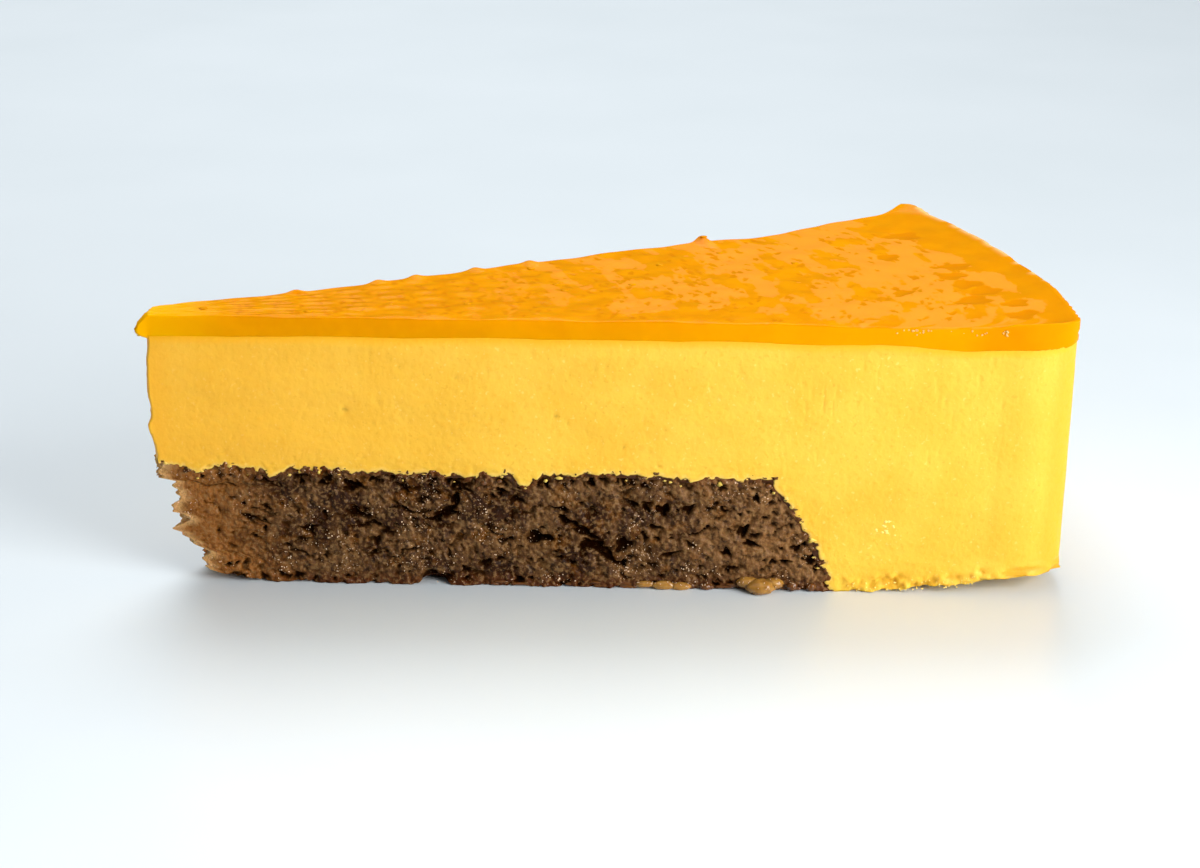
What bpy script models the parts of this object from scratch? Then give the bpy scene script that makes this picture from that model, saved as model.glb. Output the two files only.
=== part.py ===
"""A wedge cut from a round layered cake: banana sponge, mango mousse and a mango jelly glaze.

The slice lies with its tip towards -X and the round outer side of the cake towards +X.
The near cut face looks towards -Y and the far cut face towards +Y, and it stands on Z = 0.
Each layer is one closed solid. Every layer is a bent block: u runs along the slice from
the tip to the outer side, v across it from the near cut (-1) to the far cut (1), and w up
through the layer. Lengths in the functions are millimetres, and the meshes are metres.
"""

import math

import bmesh
import bpy
import numpy as np
from mathutils import Matrix, Vector, noise

MM = 0.001

# Driving dimensions of the whole cake and of the cut.
CAKE_RADIUS = 130.0
WEDGE_ANGLE = math.radians(28.7)
CAKE_HEIGHT = 40.5
JELLY_THICKNESS = 3.1
SPONGE_HEIGHT = 17.3
SPONGE_TOP_RADIUS = 88.0
SPONGE_BASE_RADIUS = 97.3
LAYER_GAP = 0.3

# Where the two cuts would meet. The origin is the middle of the slice's outer box.
HALF_ANGLE = WEDGE_ANGLE / 2
TIP_X = -64.2
TIP_Y = -1.3
NEAR = -1
FAR = 1

# The far cut missed the cake's centre, so the tip is blunt. Then the knife wandered into
# the slice, and the far outer corner was dragged out and up.
TIP_BLUNT = 3.1
TIP_BLUNT_LENGTH = 17.0
TIP_SLANT = 2.0
FAR_CUT_OFFSET = 0.8
BOW_DEPTH = 1.8
BOW_PLACE = 99.4
BOW_WIDTH = 7.5
CORNER_FLARE = 1.7

# The two upright corners of the outer end are worn round, a little more at the base than
# at the top. The outer side swells towards the near corner and is drawn in at the far one,
# the mousse lies a little behind the jelly, and the soft end stands off the base.
NEAR_CORNER = {"length": 10.0, "width": 3.5}
FAR_CORNER = {"length": 2.1, "width": 3.8}
NEAR_SWELL = 0.45
FAR_DRAW = 0.5
MOUSSE_SETBACK = 0.15
CORNER_GROWTH = 0.15
CORNER_START = 100.0
END_LIFT = 2.7
END_LIFT_CURVE = 1.6
TIP_LIFT = 1.8

# The crumbled tip of the sponge, which leans back from the mousse towards the base.
SPONGE_TIP_TOP = 0.6
SPONGE_TIP_BASE = 6.7
TIP_LIFT_LENGTH = 11.5
TIP_LIFT_CURVE = 1.8

# The jelly's rim, where it set against the ring of the tin.
RIM_LIP = 0.5
PEAK_HEIGHT = 1.25
PEAK_START = 114.0
NUB_PLACE = 88.8
NUB_HEIGHT = 1.4
NUB_WIDTH = 2.0
FAR_EDGE_BEADS = (22.5, 35.0, 41.0, 50.5, 59.5)

# The tips of the upper layers: the jelly's slants back upwards, the mousse's downwards.
JELLY_NOSE = 1.7
JELLY_NOSE_SLANT = 1.8
JELLY_NOSE_LENGTH = 4.0
MOUSSE_NOSE = 0.45
MOUSSE_UNDERCUT = 0.7
MOUSSE_UNDERCUT_LENGTH = 3.0

# Shares of the mousse's length, as its underside goes over the sponge and down its side.
LEVEL_SHARE = 0.62
SLOPE_SHARE = 0.16

# Pores and crags on the sponge's cut faces, and finer unevenness elsewhere.
PORE_COUNT = 150
PORE_WIDTH = 1.5
PORE_DEPTH = 0.9
CRAG_HEIGHT = 0.35
GRIT_HEIGHT = 0.25
SMEAR_HEIGHT = 0.12
BROKEN_HEIGHT = 0.5

# Torn hollows in the cut faces and lumps that stick out of them: which face, how far
# along it, how far out of it, how high, and the half-widths along, into and up the face.
HOLLOWS = (
    (NEAR, 54.4, 0.0, 7.4, (1.9, 1.9, 0.8)),
    (NEAR, 39.7, 0.0, 0.0, (1.6, 3.0, 1.4)),
    (NEAR, 27.8, 0.0, 15.2, (0.9, 1.5, 0.8)),
    (NEAR, 49.3, 0.2, 14.6, (1.0, 1.5, 0.9)),
    (NEAR, 42.9, 0.0, 14.4, (0.7, 1.6, 1.7)),
    (NEAR, 41.6, 0.0, 11.0, (1.9, 1.7, 0.8)),
    (NEAR, 92.2, 0.0, 5.9, (1.3, 1.5, 0.8)),
    (NEAR, 66.4, 0.0, 6.6, (2.4, 1.4, 1.0)),
    (FAR, 33.0, 0.9, 8.2, (1.5, 1.5, 0.9)),
    (FAR, 61.0, 0.7, 12.1, (1.3, 1.5, 1.0)),
    (FAR, 79.5, 0.2, 5.0, (2.0, 1.5, 0.9)),
)
CRUMBS = (
    (NEAR, 2.2, -0.7, 15.3, (1.6, 0.8, 1.1)),
    (NEAR, 4.3, -1.1, 11.2, (1.5, 1.0, 1.2)),
    (NEAR, 4.5, -1.2, 7.8, (2.3, 1.2, 1.3)),
    (NEAR, 7.4, -1.6, 4.1, (2.0, 1.5, 1.5)),
    (NEAR, 86.9, 0.8, 1.45, (2.3, 2.2, 1.3)),
    (NEAR, 74.0, 0.2, 1.1, (2.4, 1.1, 0.9)),
    (FAR, 48.0, 1.0, 1.2, (2.2, 1.2, 0.95)),
)


def smooth(low, high, value):
    """Rise smoothly from 0 to 1 while value goes from low to high."""
    t = np.clip((value - low) / (high - low), 0.0, 1.0)
    return t * t * (3.0 - 2.0 * t)


def bump(value, centre, width):
    """A single rounded hill of height 1."""
    return np.exp(-((value - centre) / width) ** 2)


def waves(s, z, seed, length):
    """Gentle unevenness of about -1 to 1, from a few sine waves of unlike lengths."""
    rng = np.random.default_rng(seed)
    total = np.zeros(np.broadcast(s, z).shape)
    for step in range(5):
        turn = rng.uniform(0.0, math.tau)
        pace = math.tau / (length * rng.uniform(0.6, 1.6))
        total += np.sin(pace * (s * math.cos(turn) + z * math.sin(turn)) + step * 1.7)
    return total / 3.0


def pits(s, z, seed):
    """Pores scattered over a sponge face; the answer is how deep each point is sunk."""
    rng = np.random.default_rng(seed)
    sunk = np.zeros(np.broadcast(s, z).shape)
    for _ in range(PORE_COUNT):
        place_s = rng.uniform(0.0, SPONGE_BASE_RADIUS)
        place_z = rng.uniform(0.0, SPONGE_HEIGHT)
        across = PORE_WIDTH * rng.uniform(0.5, 1.5)
        hollow = PORE_DEPTH * rng.uniform(0.4, 1.3)
        away = ((s - place_s) / across) ** 2 + ((z - place_z) / (0.75 * across)) ** 2
        sunk = np.maximum(sunk, hollow * np.exp(-away))
    return sunk


def far_offset(r):
    """How far the far cut stands out from the plane that it was meant to follow."""
    blunt = TIP_BLUNT * np.exp(-(r / TIP_BLUNT_LENGTH) ** 2)
    drift = FAR_CUT_OFFSET * (1.0 - smooth(45.0, 95.0, r))
    flare = CORNER_FLARE * smooth(121.0, CAKE_RADIUS, r)
    return blunt + drift - BOW_DEPTH * bump(r, BOW_PLACE, BOW_WIDTH) + flare


def plan(r, v, nose):
    """Where a point lies seen from above: r from the tip, v across, nose ahead of the tip."""
    angle = v * HALF_ANGLE
    ahead = np.maximum(r, 0.0)
    before = np.minimum(r, 0.0)
    far_share = 0.5 * (1.0 + v)
    offset = far_share * far_offset(ahead)
    slant = TIP_SLANT * far_share ** 2 * np.exp(-ahead / 4.0)
    x = ahead * np.cos(angle) - offset * math.sin(HALF_ANGLE) + slant + before
    y = ahead * np.sin(angle) + offset * math.cos(HALF_ANGLE)
    return x, y * np.sqrt(1.0 - 0.8 * (before / nose) ** 2)


def end_share(r):
    """How far a row is past the start of the outer end, from 0 to 1 at the outer side."""
    return np.clip((r - CORNER_START) / (CAKE_RADIUS - CORNER_START), 0.0, 1.0)


def rounded_end(r, v, up):
    """Shape the outer side: swollen near, drawn in far, with two round upright corners."""
    growth = 1.0 + CORNER_GROWTH * (1.0 - up)
    from_edge = (1.0 - np.abs(v)) * HALF_ANGLE * CAKE_RADIUS
    uneven = FAR_DRAW * smooth(0.6, 1.0, v) - NEAR_SWELL * smooth(-0.2, 0.5, -v)
    drawn_in = np.zeros_like(r)
    for corner, side in ((NEAR_CORNER, v < 0.0), (FAR_CORNER, v > 0.0)):
        short = np.clip(1.0 - from_edge / (growth * corner["width"]), 0.0, 1.0)
        curve = growth * corner["length"] * (1.0 - np.sqrt(1.0 - short ** 2))
        drawn_in = np.where(side, curve, drawn_in)
    return r - (drawn_in + uneven) * end_share(r)


def sponge_side(up):
    """Radius of the sponge's slanting, slightly bulging outer side, up from 0 to 1."""
    lean = SPONGE_BASE_RADIUS + (SPONGE_TOP_RADIUS - SPONGE_BASE_RADIUS) * up
    return lean + 1.0 * np.sin(math.pi * up)


def sponge_top(r, v):
    """Height of the sponge's uneven top, a little higher towards the tip."""
    rise = 0.9 * np.exp(-np.maximum(r, 0.0) / 25.0)
    return SPONGE_HEIGHT + rise + 0.3 * waves(r, 12.0 * v, 11, 24.0)


def base(r):
    """Height of the underside, which rises a little at the tip and at the outer end."""
    tip_share = np.clip(1.0 - (r - SPONGE_TIP_BASE) / TIP_LIFT_LENGTH, 0.0, 1.2)
    return TIP_LIFT * tip_share ** TIP_LIFT_CURVE + END_LIFT * end_share(r) ** END_LIFT_CURVE


def mousse_top(r, v):
    """Height of the nearly level top of the mousse, under the jelly."""
    level = CAKE_HEIGHT - JELLY_THICKNESS
    swell = 0.3 * np.sin(math.pi * np.clip(r, 0.0, 110.0) / 110.0)
    droop = 0.6 * smooth(104.0, 122.0, r)
    return level + swell - droop + 0.08 * waves(r, 30.0 * v, 12, 14.0)


def jelly_top(r, v):
    """Height of the jelly: soft cut edges, a raised rim, and what the knife pulled up."""
    from_cut = (1.0 - np.abs(v)) * HALF_ANGLE * np.maximum(r, 3.0)
    from_rim = CAKE_RADIUS - r
    height = CAKE_HEIGHT + 0.1 * waves(r, 30.0 * v, 13, 9.0)
    height = height - 0.45 * np.exp(-from_cut / 0.5)
    height = height + RIM_LIP * np.exp(-from_rim / 2.5) - 0.5 * np.exp(-from_rim / 0.4)
    height = height - 0.3 * bump(r, 105.0, 15.0) * smooth(0.6, 1.0, -v)
    far_edge = smooth(0.80, 0.98, v)
    height = height + PEAK_HEIGHT * smooth(PEAK_START, CAKE_RADIUS, r) * smooth(0.7, 0.97, v)
    height = height + NUB_HEIGHT * bump(r, NUB_PLACE, NUB_WIDTH) * far_edge
    for place in FAR_EDGE_BEADS:
        height = height + 0.5 * bump(r, place, 1.5) * far_edge
    return height


def sponge_relief(s, z, seed):
    """Crumb on a cut face: open pores and torn hollows with ridges left between them."""
    fade = smooth(2.0, 16.0, s)
    sunk = pits(s, z, seed)
    proud = CRAG_HEIGHT * waves(s, z, seed + 1, 5.0) + GRIT_HEIGHT * waves(s, z, seed + 2, 2.6)
    return fade * (proud - sunk)


def mousse_relief(s, z, seed):
    """A knife-cut face: nearly flat, smeared lengthwise, broken where it meets the base."""
    smear = SMEAR_HEIGHT * waves(0.25 * s, z, seed, 7.0)
    at_foot = smooth(99.0, 104.0, s) * (1.0 - smooth(0.5, 4.5, z))
    broken = BROKEN_HEIGHT * waves(s, z, seed + 1, 5.0) * at_foot
    return smooth(0.0, 12.0, s) * (smear + broken)


def jelly_relief(s, z, seed):
    """A clean cut through firm jelly."""
    return 0.08 * smooth(0.0, 12.0, s) * waves(0.5 * s, z, seed, 8.0)


def cut_faces(x, y, z, r, v, relief):
    """Swing a point about the tip by the relief of both cut faces, each by how near it is."""
    near = 0.5 * (1.0 - v) * relief(r, z, 21)
    far = 0.5 * (1.0 + v) * relief(r, z, 31)
    shift = far - near
    return x - shift * np.sin(v * HALF_ANGLE), y + shift * np.cos(v * HALF_ANGLE)


def sponge_point(u, v, w):
    """The sponge from its crumbled tip to the slanting side that the mousse covers."""
    tip = SPONGE_TIP_TOP + (SPONGE_TIP_BASE - SPONGE_TIP_TOP) * (1.0 - w) ** 0.75
    r = tip + (sponge_side(w) - tip) * u
    r = r + 0.4 * waves(9.0 * v + 40.0 * u, 17.0 * w, 41, 4.0) * (1.0 - smooth(0.0, 0.05, u))
    x, y = plan(r, v, MOUSSE_NOSE)
    r_above = SPONGE_TIP_TOP + (SPONGE_TOP_RADIUS - SPONGE_TIP_TOP) * u
    bottom = base(r)
    z = bottom + (sponge_top(r_above, v) - bottom) * w
    x, y = cut_faces(x, y, z, r, v, sponge_relief)
    return x, y, z


def mousse_underside(u):
    """The mousse from below, as radius and height along u: level, slope, then base."""
    clear = 1.15 * LAYER_GAP
    slope_end = LEVEL_SHARE + SLOPE_SHARE
    over_sponge = u < LEVEL_SHARE
    on_slope = (u >= LEVEL_SHARE) & (u < slope_end)
    along = -MOUSSE_NOSE + (SPONGE_TOP_RADIUS + MOUSSE_NOSE) * u / LEVEL_SHARE
    down = np.clip((slope_end - u) / SLOPE_SHARE, 0.0, 1.0)
    slope = sponge_side(down) + clear
    foot = SPONGE_BASE_RADIUS + clear
    past = foot + (CAKE_RADIUS - foot) * (u - slope_end) / (1.0 - slope_end)
    r = np.where(over_sponge, along, np.where(on_slope, slope, past))
    return r, over_sponge, on_slope, down


def mousse_point(u, v, w):
    """The mousse over the sponge and down round its outer side to the base."""
    r, over_sponge, on_slope, down = mousse_underside(u)
    undercut = MOUSSE_UNDERCUT * np.exp(-(r + MOUSSE_NOSE) / MOUSSE_UNDERCUT_LENGTH)
    r = r + undercut * (1.0 - w) ** 2
    level = sponge_top(r, v) + LAYER_GAP
    shoulder = sponge_top(SPONGE_TOP_RADIUS, v) + LAYER_GAP
    bottom = np.where(over_sponge, level, np.where(on_slope, shoulder * down, base(r)))
    top = mousse_top(r, v) - 0.5 * LAYER_GAP
    z = bottom + (top - bottom) * w
    shaped = rounded_end(r, v, np.clip(z / (CAKE_HEIGHT - JELLY_THICKNESS), 0.0, 1.0))
    shaped = shaped - MOUSSE_SETBACK * end_share(r)
    x, y = plan(shaped, v, MOUSSE_NOSE)
    x, y = cut_faces(x, y, z, shaped, v, mousse_relief)
    return x, y, z


def jelly_point(u, v, w):
    """The jelly glaze, level underneath, drawn out to a ragged scrap past the tip."""
    r = -JELLY_NOSE + (CAKE_RADIUS + JELLY_NOSE) * u
    slant = JELLY_NOSE_SLANT * np.exp(-(r + JELLY_NOSE) / JELLY_NOSE_LENGTH)
    r = r + slant * w ** 2
    bottom = mousse_top(r, v) + 0.5 * LAYER_GAP
    z = bottom + (jelly_top(r, v) - bottom) * w
    shaped = rounded_end(r, v, np.ones_like(z))
    x, y = plan(shaped, v, JELLY_NOSE)
    x, y = cut_faces(x, y, z, shaped, v, jelly_relief)
    return x, y, z


def block_object(name, point, along, across, up):
    """A closed solid from the six sides of a bent block, as one mesh of quads."""
    u, v, w = np.meshgrid(along, across, up, indexing="ij")
    x, y, z = point(u, v, w)
    solid = bmesh.new()
    made_corners = {}
    last_u = len(along) - 1
    last_v = len(across) - 1
    last_w = len(up) - 1

    def corner(key):
        if key not in made_corners:
            place = (MM * (x[key] + TIP_X), MM * (y[key] + TIP_Y), MM * z[key])
            made_corners[key] = solid.verts.new(place)
        return made_corners[key]

    def quad(a, b, c, d):
        solid.faces.new([corner(a), corner(b), corner(c), corner(d)])

    for i in range(last_u):
        for j in range(last_v):
            quad((i, j, 0), (i, j + 1, 0), (i + 1, j + 1, 0), (i + 1, j, 0))
            quad((i, j, last_w), (i + 1, j, last_w), (i + 1, j + 1, last_w), (i, j + 1, last_w))
        for k in range(last_w):
            quad((i, 0, k), (i + 1, 0, k), (i + 1, 0, k + 1), (i, 0, k + 1))
            quad((i, last_v, k), (i, last_v, k + 1), (i + 1, last_v, k + 1), (i + 1, last_v, k))
    for j in range(last_v):
        for k in range(last_w):
            quad((0, j, k), (0, j, k + 1), (0, j + 1, k + 1), (0, j + 1, k))
            quad((last_u, j, k), (last_u, j + 1, k), (last_u, j + 1, k + 1), (last_u, j, k + 1))
    mesh = bpy.data.meshes.new(name)
    solid.to_mesh(mesh)
    solid.free()
    made = bpy.data.objects.new(name, mesh)
    bpy.context.scene.collection.objects.link(made)
    return made


def lump(name, centre, size, seed):
    """A closed uneven lump about centre, with half-widths size, in millimetres."""
    grown = bmesh.new()
    bmesh.ops.create_icosphere(grown, subdivisions=2, radius=1.0)
    for point in grown.verts:
        swell = 1.0 + 0.2 * noise.noise(point.co * 1.6 + Vector((seed, 3.1 * seed, 0.0)))
        point.co = point.co * swell
    turn = Matrix.Rotation(-HALF_ANGLE, 4, "Z")
    scale = Matrix.Diagonal((size[0], size[1], size[2], 1.0))
    bmesh.ops.transform(grown, matrix=turn @ scale, verts=grown.verts)
    bmesh.ops.translate(grown, vec=Vector(centre), verts=grown.verts)
    bmesh.ops.scale(grown, vec=(MM, MM, MM), verts=grown.verts)
    mesh = bpy.data.meshes.new(name)
    grown.to_mesh(mesh)
    grown.free()
    return bpy.data.objects.new(name, mesh)


def on_cut(side, s, out, z):
    """A point s along a cut face, -1 near or 1 far, out from it, and z high."""
    x = TIP_X + s * math.cos(HALF_ANGLE) - out * math.sin(HALF_ANGLE)
    y = TIP_Y + side * (s * math.sin(HALF_ANGLE) + out * math.cos(HALF_ANGLE))
    return x, y, z


def lumps(name, places, seed):
    """One lump for each row of places."""
    made = []
    for number, (side, s, out, z, size) in enumerate(places):
        made.append(lump(f"{name}_{number}", on_cut(side, s, out, z), size, number + seed))
    return made


def keep_outer_skin(mesh):
    """Keep the largest connected skin: drops loose scraps and fills hollows sealed inside."""
    skin = bmesh.new()
    skin.from_mesh(mesh)
    waiting = set(skin.verts)
    largest = set()
    while waiting:
        island = set()
        front = [waiting.pop()]
        while front:
            point = front.pop()
            island.add(point)
            near = {edge.other_vert(point) for edge in point.link_edges} & waiting
            waiting -= near
            front.extend(near)
        if len(island) > len(largest):
            largest = island
    loose = [point for point in skin.verts if point not in largest]
    bmesh.ops.delete(skin, geom=loose, context="VERTS")
    skin.to_mesh(mesh)
    skin.free()


def combine(target, operation, pieces):
    """Join pieces to target, or cut them out of it, and keep only the result."""
    group = bpy.data.collections.new(operation)
    bpy.context.scene.collection.children.link(group)
    for piece in pieces:
        group.objects.link(piece)
    boolean = target.modifiers.new(operation, "BOOLEAN")
    boolean.operation = operation
    boolean.operand_type = "COLLECTION"
    boolean.collection = group
    boolean.solver = "EXACT"
    evaluated = target.evaluated_get(bpy.context.evaluated_depsgraph_get())
    result = bpy.data.meshes.new_from_object(evaluated)
    keep_outer_skin(result)
    target.modifiers.remove(boolean)
    target.data = result
    for piece in pieces:
        bpy.data.objects.remove(piece)
    bpy.data.collections.remove(group)


def finish(made, colour, roughness, coat=0.0):
    """Give a layer its own material and smooth shading."""
    material = bpy.data.materials.new(made.name + "_finish")
    material.use_nodes = True
    shader = material.node_tree.nodes["Principled BSDF"]
    shader.inputs["Base Color"].default_value = (*colour, 1.0)
    shader.inputs["Roughness"].default_value = roughness
    shader.inputs["Metallic"].default_value = 0.0
    shader.inputs["Coat Weight"].default_value = coat
    made.data.materials.clear()
    made.data.materials.append(material)
    made.data.shade_smooth()
    made.data.set_sharp_from_angle(angle=math.radians(40.0))


def across_steps(shares):
    """Places across the slice, mirrored about its middle, from shares of its half width."""
    return [-share for share in reversed(shares) if share > 0.0] + list(shares)


def build_sponge():
    """The banana sponge, with its hollows, its torn tip and the syrup at its foot."""
    along = [i / 72 for i in range(73)]
    across = across_steps((0.0, 0.3, 0.6, 0.85, 1.0))
    up = [k / 12 for k in range(13)]
    sponge = block_object("sponge", sponge_point, along, across, up)
    combine(sponge, "DIFFERENCE", lumps("hollow", HOLLOWS, 0.37))
    combine(sponge, "UNION", lumps("crumb", CRUMBS, 9.2))
    finish(sponge, (0.16, 0.085, 0.043), 0.6)


def build_mousse():
    """The mango mousse."""
    slope_end = LEVEL_SHARE + SLOPE_SHARE
    along = [0.0, 0.006]
    along += [LEVEL_SHARE * i / 27 for i in range(1, 27)]
    along += [LEVEL_SHARE + SLOPE_SHARE * i / 6 for i in range(6)]
    along += [1.0 - (1.0 - slope_end) * share for share in (1.0, 0.8, 0.6, 0.4, 0.25, 0.12, 0.04, 0.0)]
    across = across_steps((0.0, 0.4, 0.72, 0.84, 0.92, 0.975, 1.0))
    up = [0.0, 0.04, 0.1, 0.3, 0.65, 1.0]
    mousse = block_object("mousse", mousse_point, along, across, up)
    finish(mousse, (0.93, 0.55, 0.07), 0.45)


def build_jelly():
    """The mango jelly glaze."""
    along = [0.0, 0.006, 0.014, 0.03]
    along += [0.05 + 0.91 * i / 38 for i in range(39)]
    along += [0.975, 0.988, 0.996, 1.0]
    across = across_steps((0.0, 0.3, 0.58, 0.78, 0.9, 0.965, 1.0))
    up = [0.0, 0.5, 1.0]
    jelly = block_object("jelly", jelly_point, along, across, up)
    finish(jelly, (0.93, 0.38, 0.01), 0.15, 0.5)


def main():
    for existing in list(bpy.data.objects):
        bpy.data.objects.remove(existing)
    build_sponge()
    build_mousse()
    build_jelly()


main()
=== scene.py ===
# %% [markdown]
# # A slice of layered banana and mango cake
# The real slice has three layers. A moist banana sponge is at the bottom, a mango mousse lies
# on it and runs down round its outer side, and a thin mango jelly set on top of the mousse.
# This lesson gives each layer its fine surface and its finish, around a fixed solid model that
# already has the right size. Nothing is resized here: each new piece takes the place of the
# plain solid of the same layer. Lengths in the functions are millimetres, because food is
# easier to think about that way, and they turn into metres only when a mesh is made.

# %% Load the fixed model
import math

import bmesh
import bpy
import numpy as np
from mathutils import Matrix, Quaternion, Vector


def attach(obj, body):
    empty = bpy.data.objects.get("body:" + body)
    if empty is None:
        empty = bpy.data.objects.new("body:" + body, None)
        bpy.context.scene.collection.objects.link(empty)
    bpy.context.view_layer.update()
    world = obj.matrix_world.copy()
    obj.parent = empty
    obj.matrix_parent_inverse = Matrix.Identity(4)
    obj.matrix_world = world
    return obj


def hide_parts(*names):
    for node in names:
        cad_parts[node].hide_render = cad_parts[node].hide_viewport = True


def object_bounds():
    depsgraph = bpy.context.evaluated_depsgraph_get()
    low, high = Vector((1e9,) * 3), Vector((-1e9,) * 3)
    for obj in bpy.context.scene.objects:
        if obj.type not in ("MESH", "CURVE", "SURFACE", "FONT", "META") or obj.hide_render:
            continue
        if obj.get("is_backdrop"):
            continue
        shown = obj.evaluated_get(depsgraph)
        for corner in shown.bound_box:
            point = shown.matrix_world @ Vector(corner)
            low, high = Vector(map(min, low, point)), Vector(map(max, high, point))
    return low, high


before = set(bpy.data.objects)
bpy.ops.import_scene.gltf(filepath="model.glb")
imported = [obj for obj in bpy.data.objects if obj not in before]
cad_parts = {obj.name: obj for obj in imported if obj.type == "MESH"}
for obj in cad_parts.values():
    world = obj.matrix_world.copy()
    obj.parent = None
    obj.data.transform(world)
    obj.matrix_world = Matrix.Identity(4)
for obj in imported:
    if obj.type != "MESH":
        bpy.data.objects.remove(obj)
cad_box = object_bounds()
MM = 0.001
print("layers:", sorted(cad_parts), "box in mm:", [round(1000 * x, 1) for p in cad_box for x in p])

# %% [markdown]
# ## The camera
# The slice is seen from a little above, with one cut face nearly square to the lens. A camera
# could be aimed with a constraint, but two angles and a place are easier to read and to check:
# how far it looks to the right of straight ahead, and how far it looks down.

# %% Place the camera
CAMERA_PLACE = Vector((-71.14, -314.94, 135.6)) * MM
CAMERA_TURN = math.radians(12.95)
CAMERA_DIP = math.radians(20.1)
CAMERA_ROLL = math.radians(0.396)
CAMERA_LENS = 69.0
SENSOR_WIDTH = 36.0
NEAREST_SEEN = 10.0 * MM


def add_object(name, data):
    """Put a new mesh, lamp or camera into the scene."""
    made = bpy.data.objects.new(name, data)
    bpy.context.scene.collection.objects.link(made)
    return made


def place_camera():
    """A level look at the near cut face, turned to the right and dipped."""
    level = math.cos(CAMERA_DIP)
    ahead = Vector((level * math.sin(CAMERA_TURN), level * math.cos(CAMERA_TURN), -math.sin(CAMERA_DIP)))
    camera = add_object("camera", bpy.data.cameras.new("camera"))
    camera.data.lens = CAMERA_LENS
    camera.data.sensor_width = SENSOR_WIDTH
    camera.data.clip_start = NEAREST_SEEN
    camera.location = CAMERA_PLACE
    camera.rotation_mode = "QUATERNION"
    camera.rotation_quaternion = ahead.to_track_quat("-Z", "Y") @ Quaternion((0, 0, 1), CAMERA_ROLL)
    bpy.context.scene.camera = camera


place_camera()
print("camera looks down", round(math.degrees(CAMERA_DIP), 1), "degrees")

# %% [markdown]
# ## A helper for node graphs
# The sky and every finish are small graphs of nodes. One function adds a node with its
# settings and its inputs, and an input that is given another node's output is linked to it.

# %% Write the node helper


def set_inputs(tree, node, inputs):
    """Give a node its inputs: a socket is linked, and anything else is set."""
    for name, value in inputs.items():
        if isinstance(value, bpy.types.NodeSocket):
            tree.links.new(value, node.inputs[name])
        else:
            node.inputs[name].default_value = value


def add_node(tree, kind, settings=None, inputs=None):
    """Add a node with its settings and links."""
    made = tree.nodes.new(kind)
    for name, value in (settings or {}).items():
        setattr(made, name, value)
    set_inputs(tree, made, inputs or {})
    return made


print("node helper ready")

# %% [markdown]
# ## Light
# Fruit jelly and mousse are strong colours, and in daylight their red runs into white. The
# plain Standard view keeps those colours as they are, where a film-like curve would grey them.
# The main light is one large soft window at the right front, which makes the cut face brighter
# towards its outer end; the finishes also paint part of that brightening into their colours. A
# lamp that hangs over the board behind the slice keeps the background pale, and a high panel
# further back gives the wet jelly a faint real sheen, to which painted sheen patches are added.

# %% Set the lamps
WHITE = (1.0, 1.0, 1.0)
LAMPS = (
    # name, place, what it faces, width and height, power, colour
    ("window_light", (0.26, -0.34, 0.18), (0.0, 0.0, 0.02), (0.28, 0.28), 2.85, (1.0, 0.99, 0.97)),
    ("wall_light", (0.05, 0.42, 0.6), (0.0, 0.50, 0.0), (0.7, 0.4), 2.2, WHITE),
    ("ceiling_light", (0.0, 0.9, 1.1), (0.0, 0.1, 0.0), (0.9, 0.9), 8.5, WHITE),
)

bpy.context.scene.view_settings.view_transform = "Standard"
for name, place, aim, size, power, colour in LAMPS:
    lamp = bpy.data.lights.new(name, "AREA")
    lamp.shape = "RECTANGLE"
    lamp.size, lamp.size_y = size
    lamp.energy = power
    lamp.color = colour
    held = add_object(name, lamp)
    held.location = place
    held.rotation_mode = "QUATERNION"
    held.rotation_quaternion = (Vector(aim) - Vector(place)).to_track_quat("-Z", "Y")
print("lamps:", len(bpy.data.lights))

# %% [markdown]
# The sky is a plain pale blue. It is dimmer near the horizon, so that the jelly's flat top,
# which is seen at a slant, doesn't turn white with its reflection.

# %% Set the sky
SKY_COLOUR = (0.92, 0.96, 1.0, 1.0)
SKY_LOW_STRENGTH = 0.06
SKY_HIGH_STRENGTH = 0.75
SKY_LOW = math.sin(math.radians(27))
SKY_HIGH = math.sin(math.radians(60))

world = bpy.data.worlds.new("soft_sky")
world.use_nodes = True
tree = world.node_tree
direction = add_node(tree, "ShaderNodeTexCoord")
split = add_node(tree, "ShaderNodeSeparateXYZ", {}, {"Vector": direction.outputs["Generated"]})
height = add_node(tree, "ShaderNodeMapRange", {}, {
    "Value": split.outputs["Z"], "From Min": SKY_LOW, "From Max": SKY_HIGH,
    "To Min": SKY_LOW_STRENGTH, "To Max": SKY_HIGH_STRENGTH})
set_inputs(tree, tree.nodes["Background"], {"Color": SKY_COLOUR, "Strength": height.outputs["Result"]})
bpy.context.scene.world = world
print("sky strength:", SKY_LOW_STRENGTH, "low,", SKY_HIGH_STRENGTH, "high")

# %% [markdown]
# ## Finishes from tables
# Every finish here is built the same way. It starts from one base colour, and thin layers of
# other colours are laid over it. How much of a layer shows is driven by a noise, such as
# patches of fruit, or by a fact that the mesh carries, such as the depth of a pore. A table with
# one row a layer is easier to read and to match to real food than a long list of nodes. A row
# that names one of the shader's values, such as its roughness, drives that value instead.

# %% Write the finish maker


def hex_colour(code):
    """A screen colour such as #F9BB39 as linear red, green, blue and full alpha."""
    parts = [int(code[i:i + 2], 16) / 255.0 for i in (1, 3, 5)]
    linear = [p / 12.92 if p <= 0.04045 else ((p + 0.055) / 1.055) ** 2.4 for p in parts]
    return (*linear, 1.0)


def per_mm(size):
    """Texture scale for a pattern whose parts are size millimetres apart."""
    return 1.0 / (size * MM)


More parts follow.
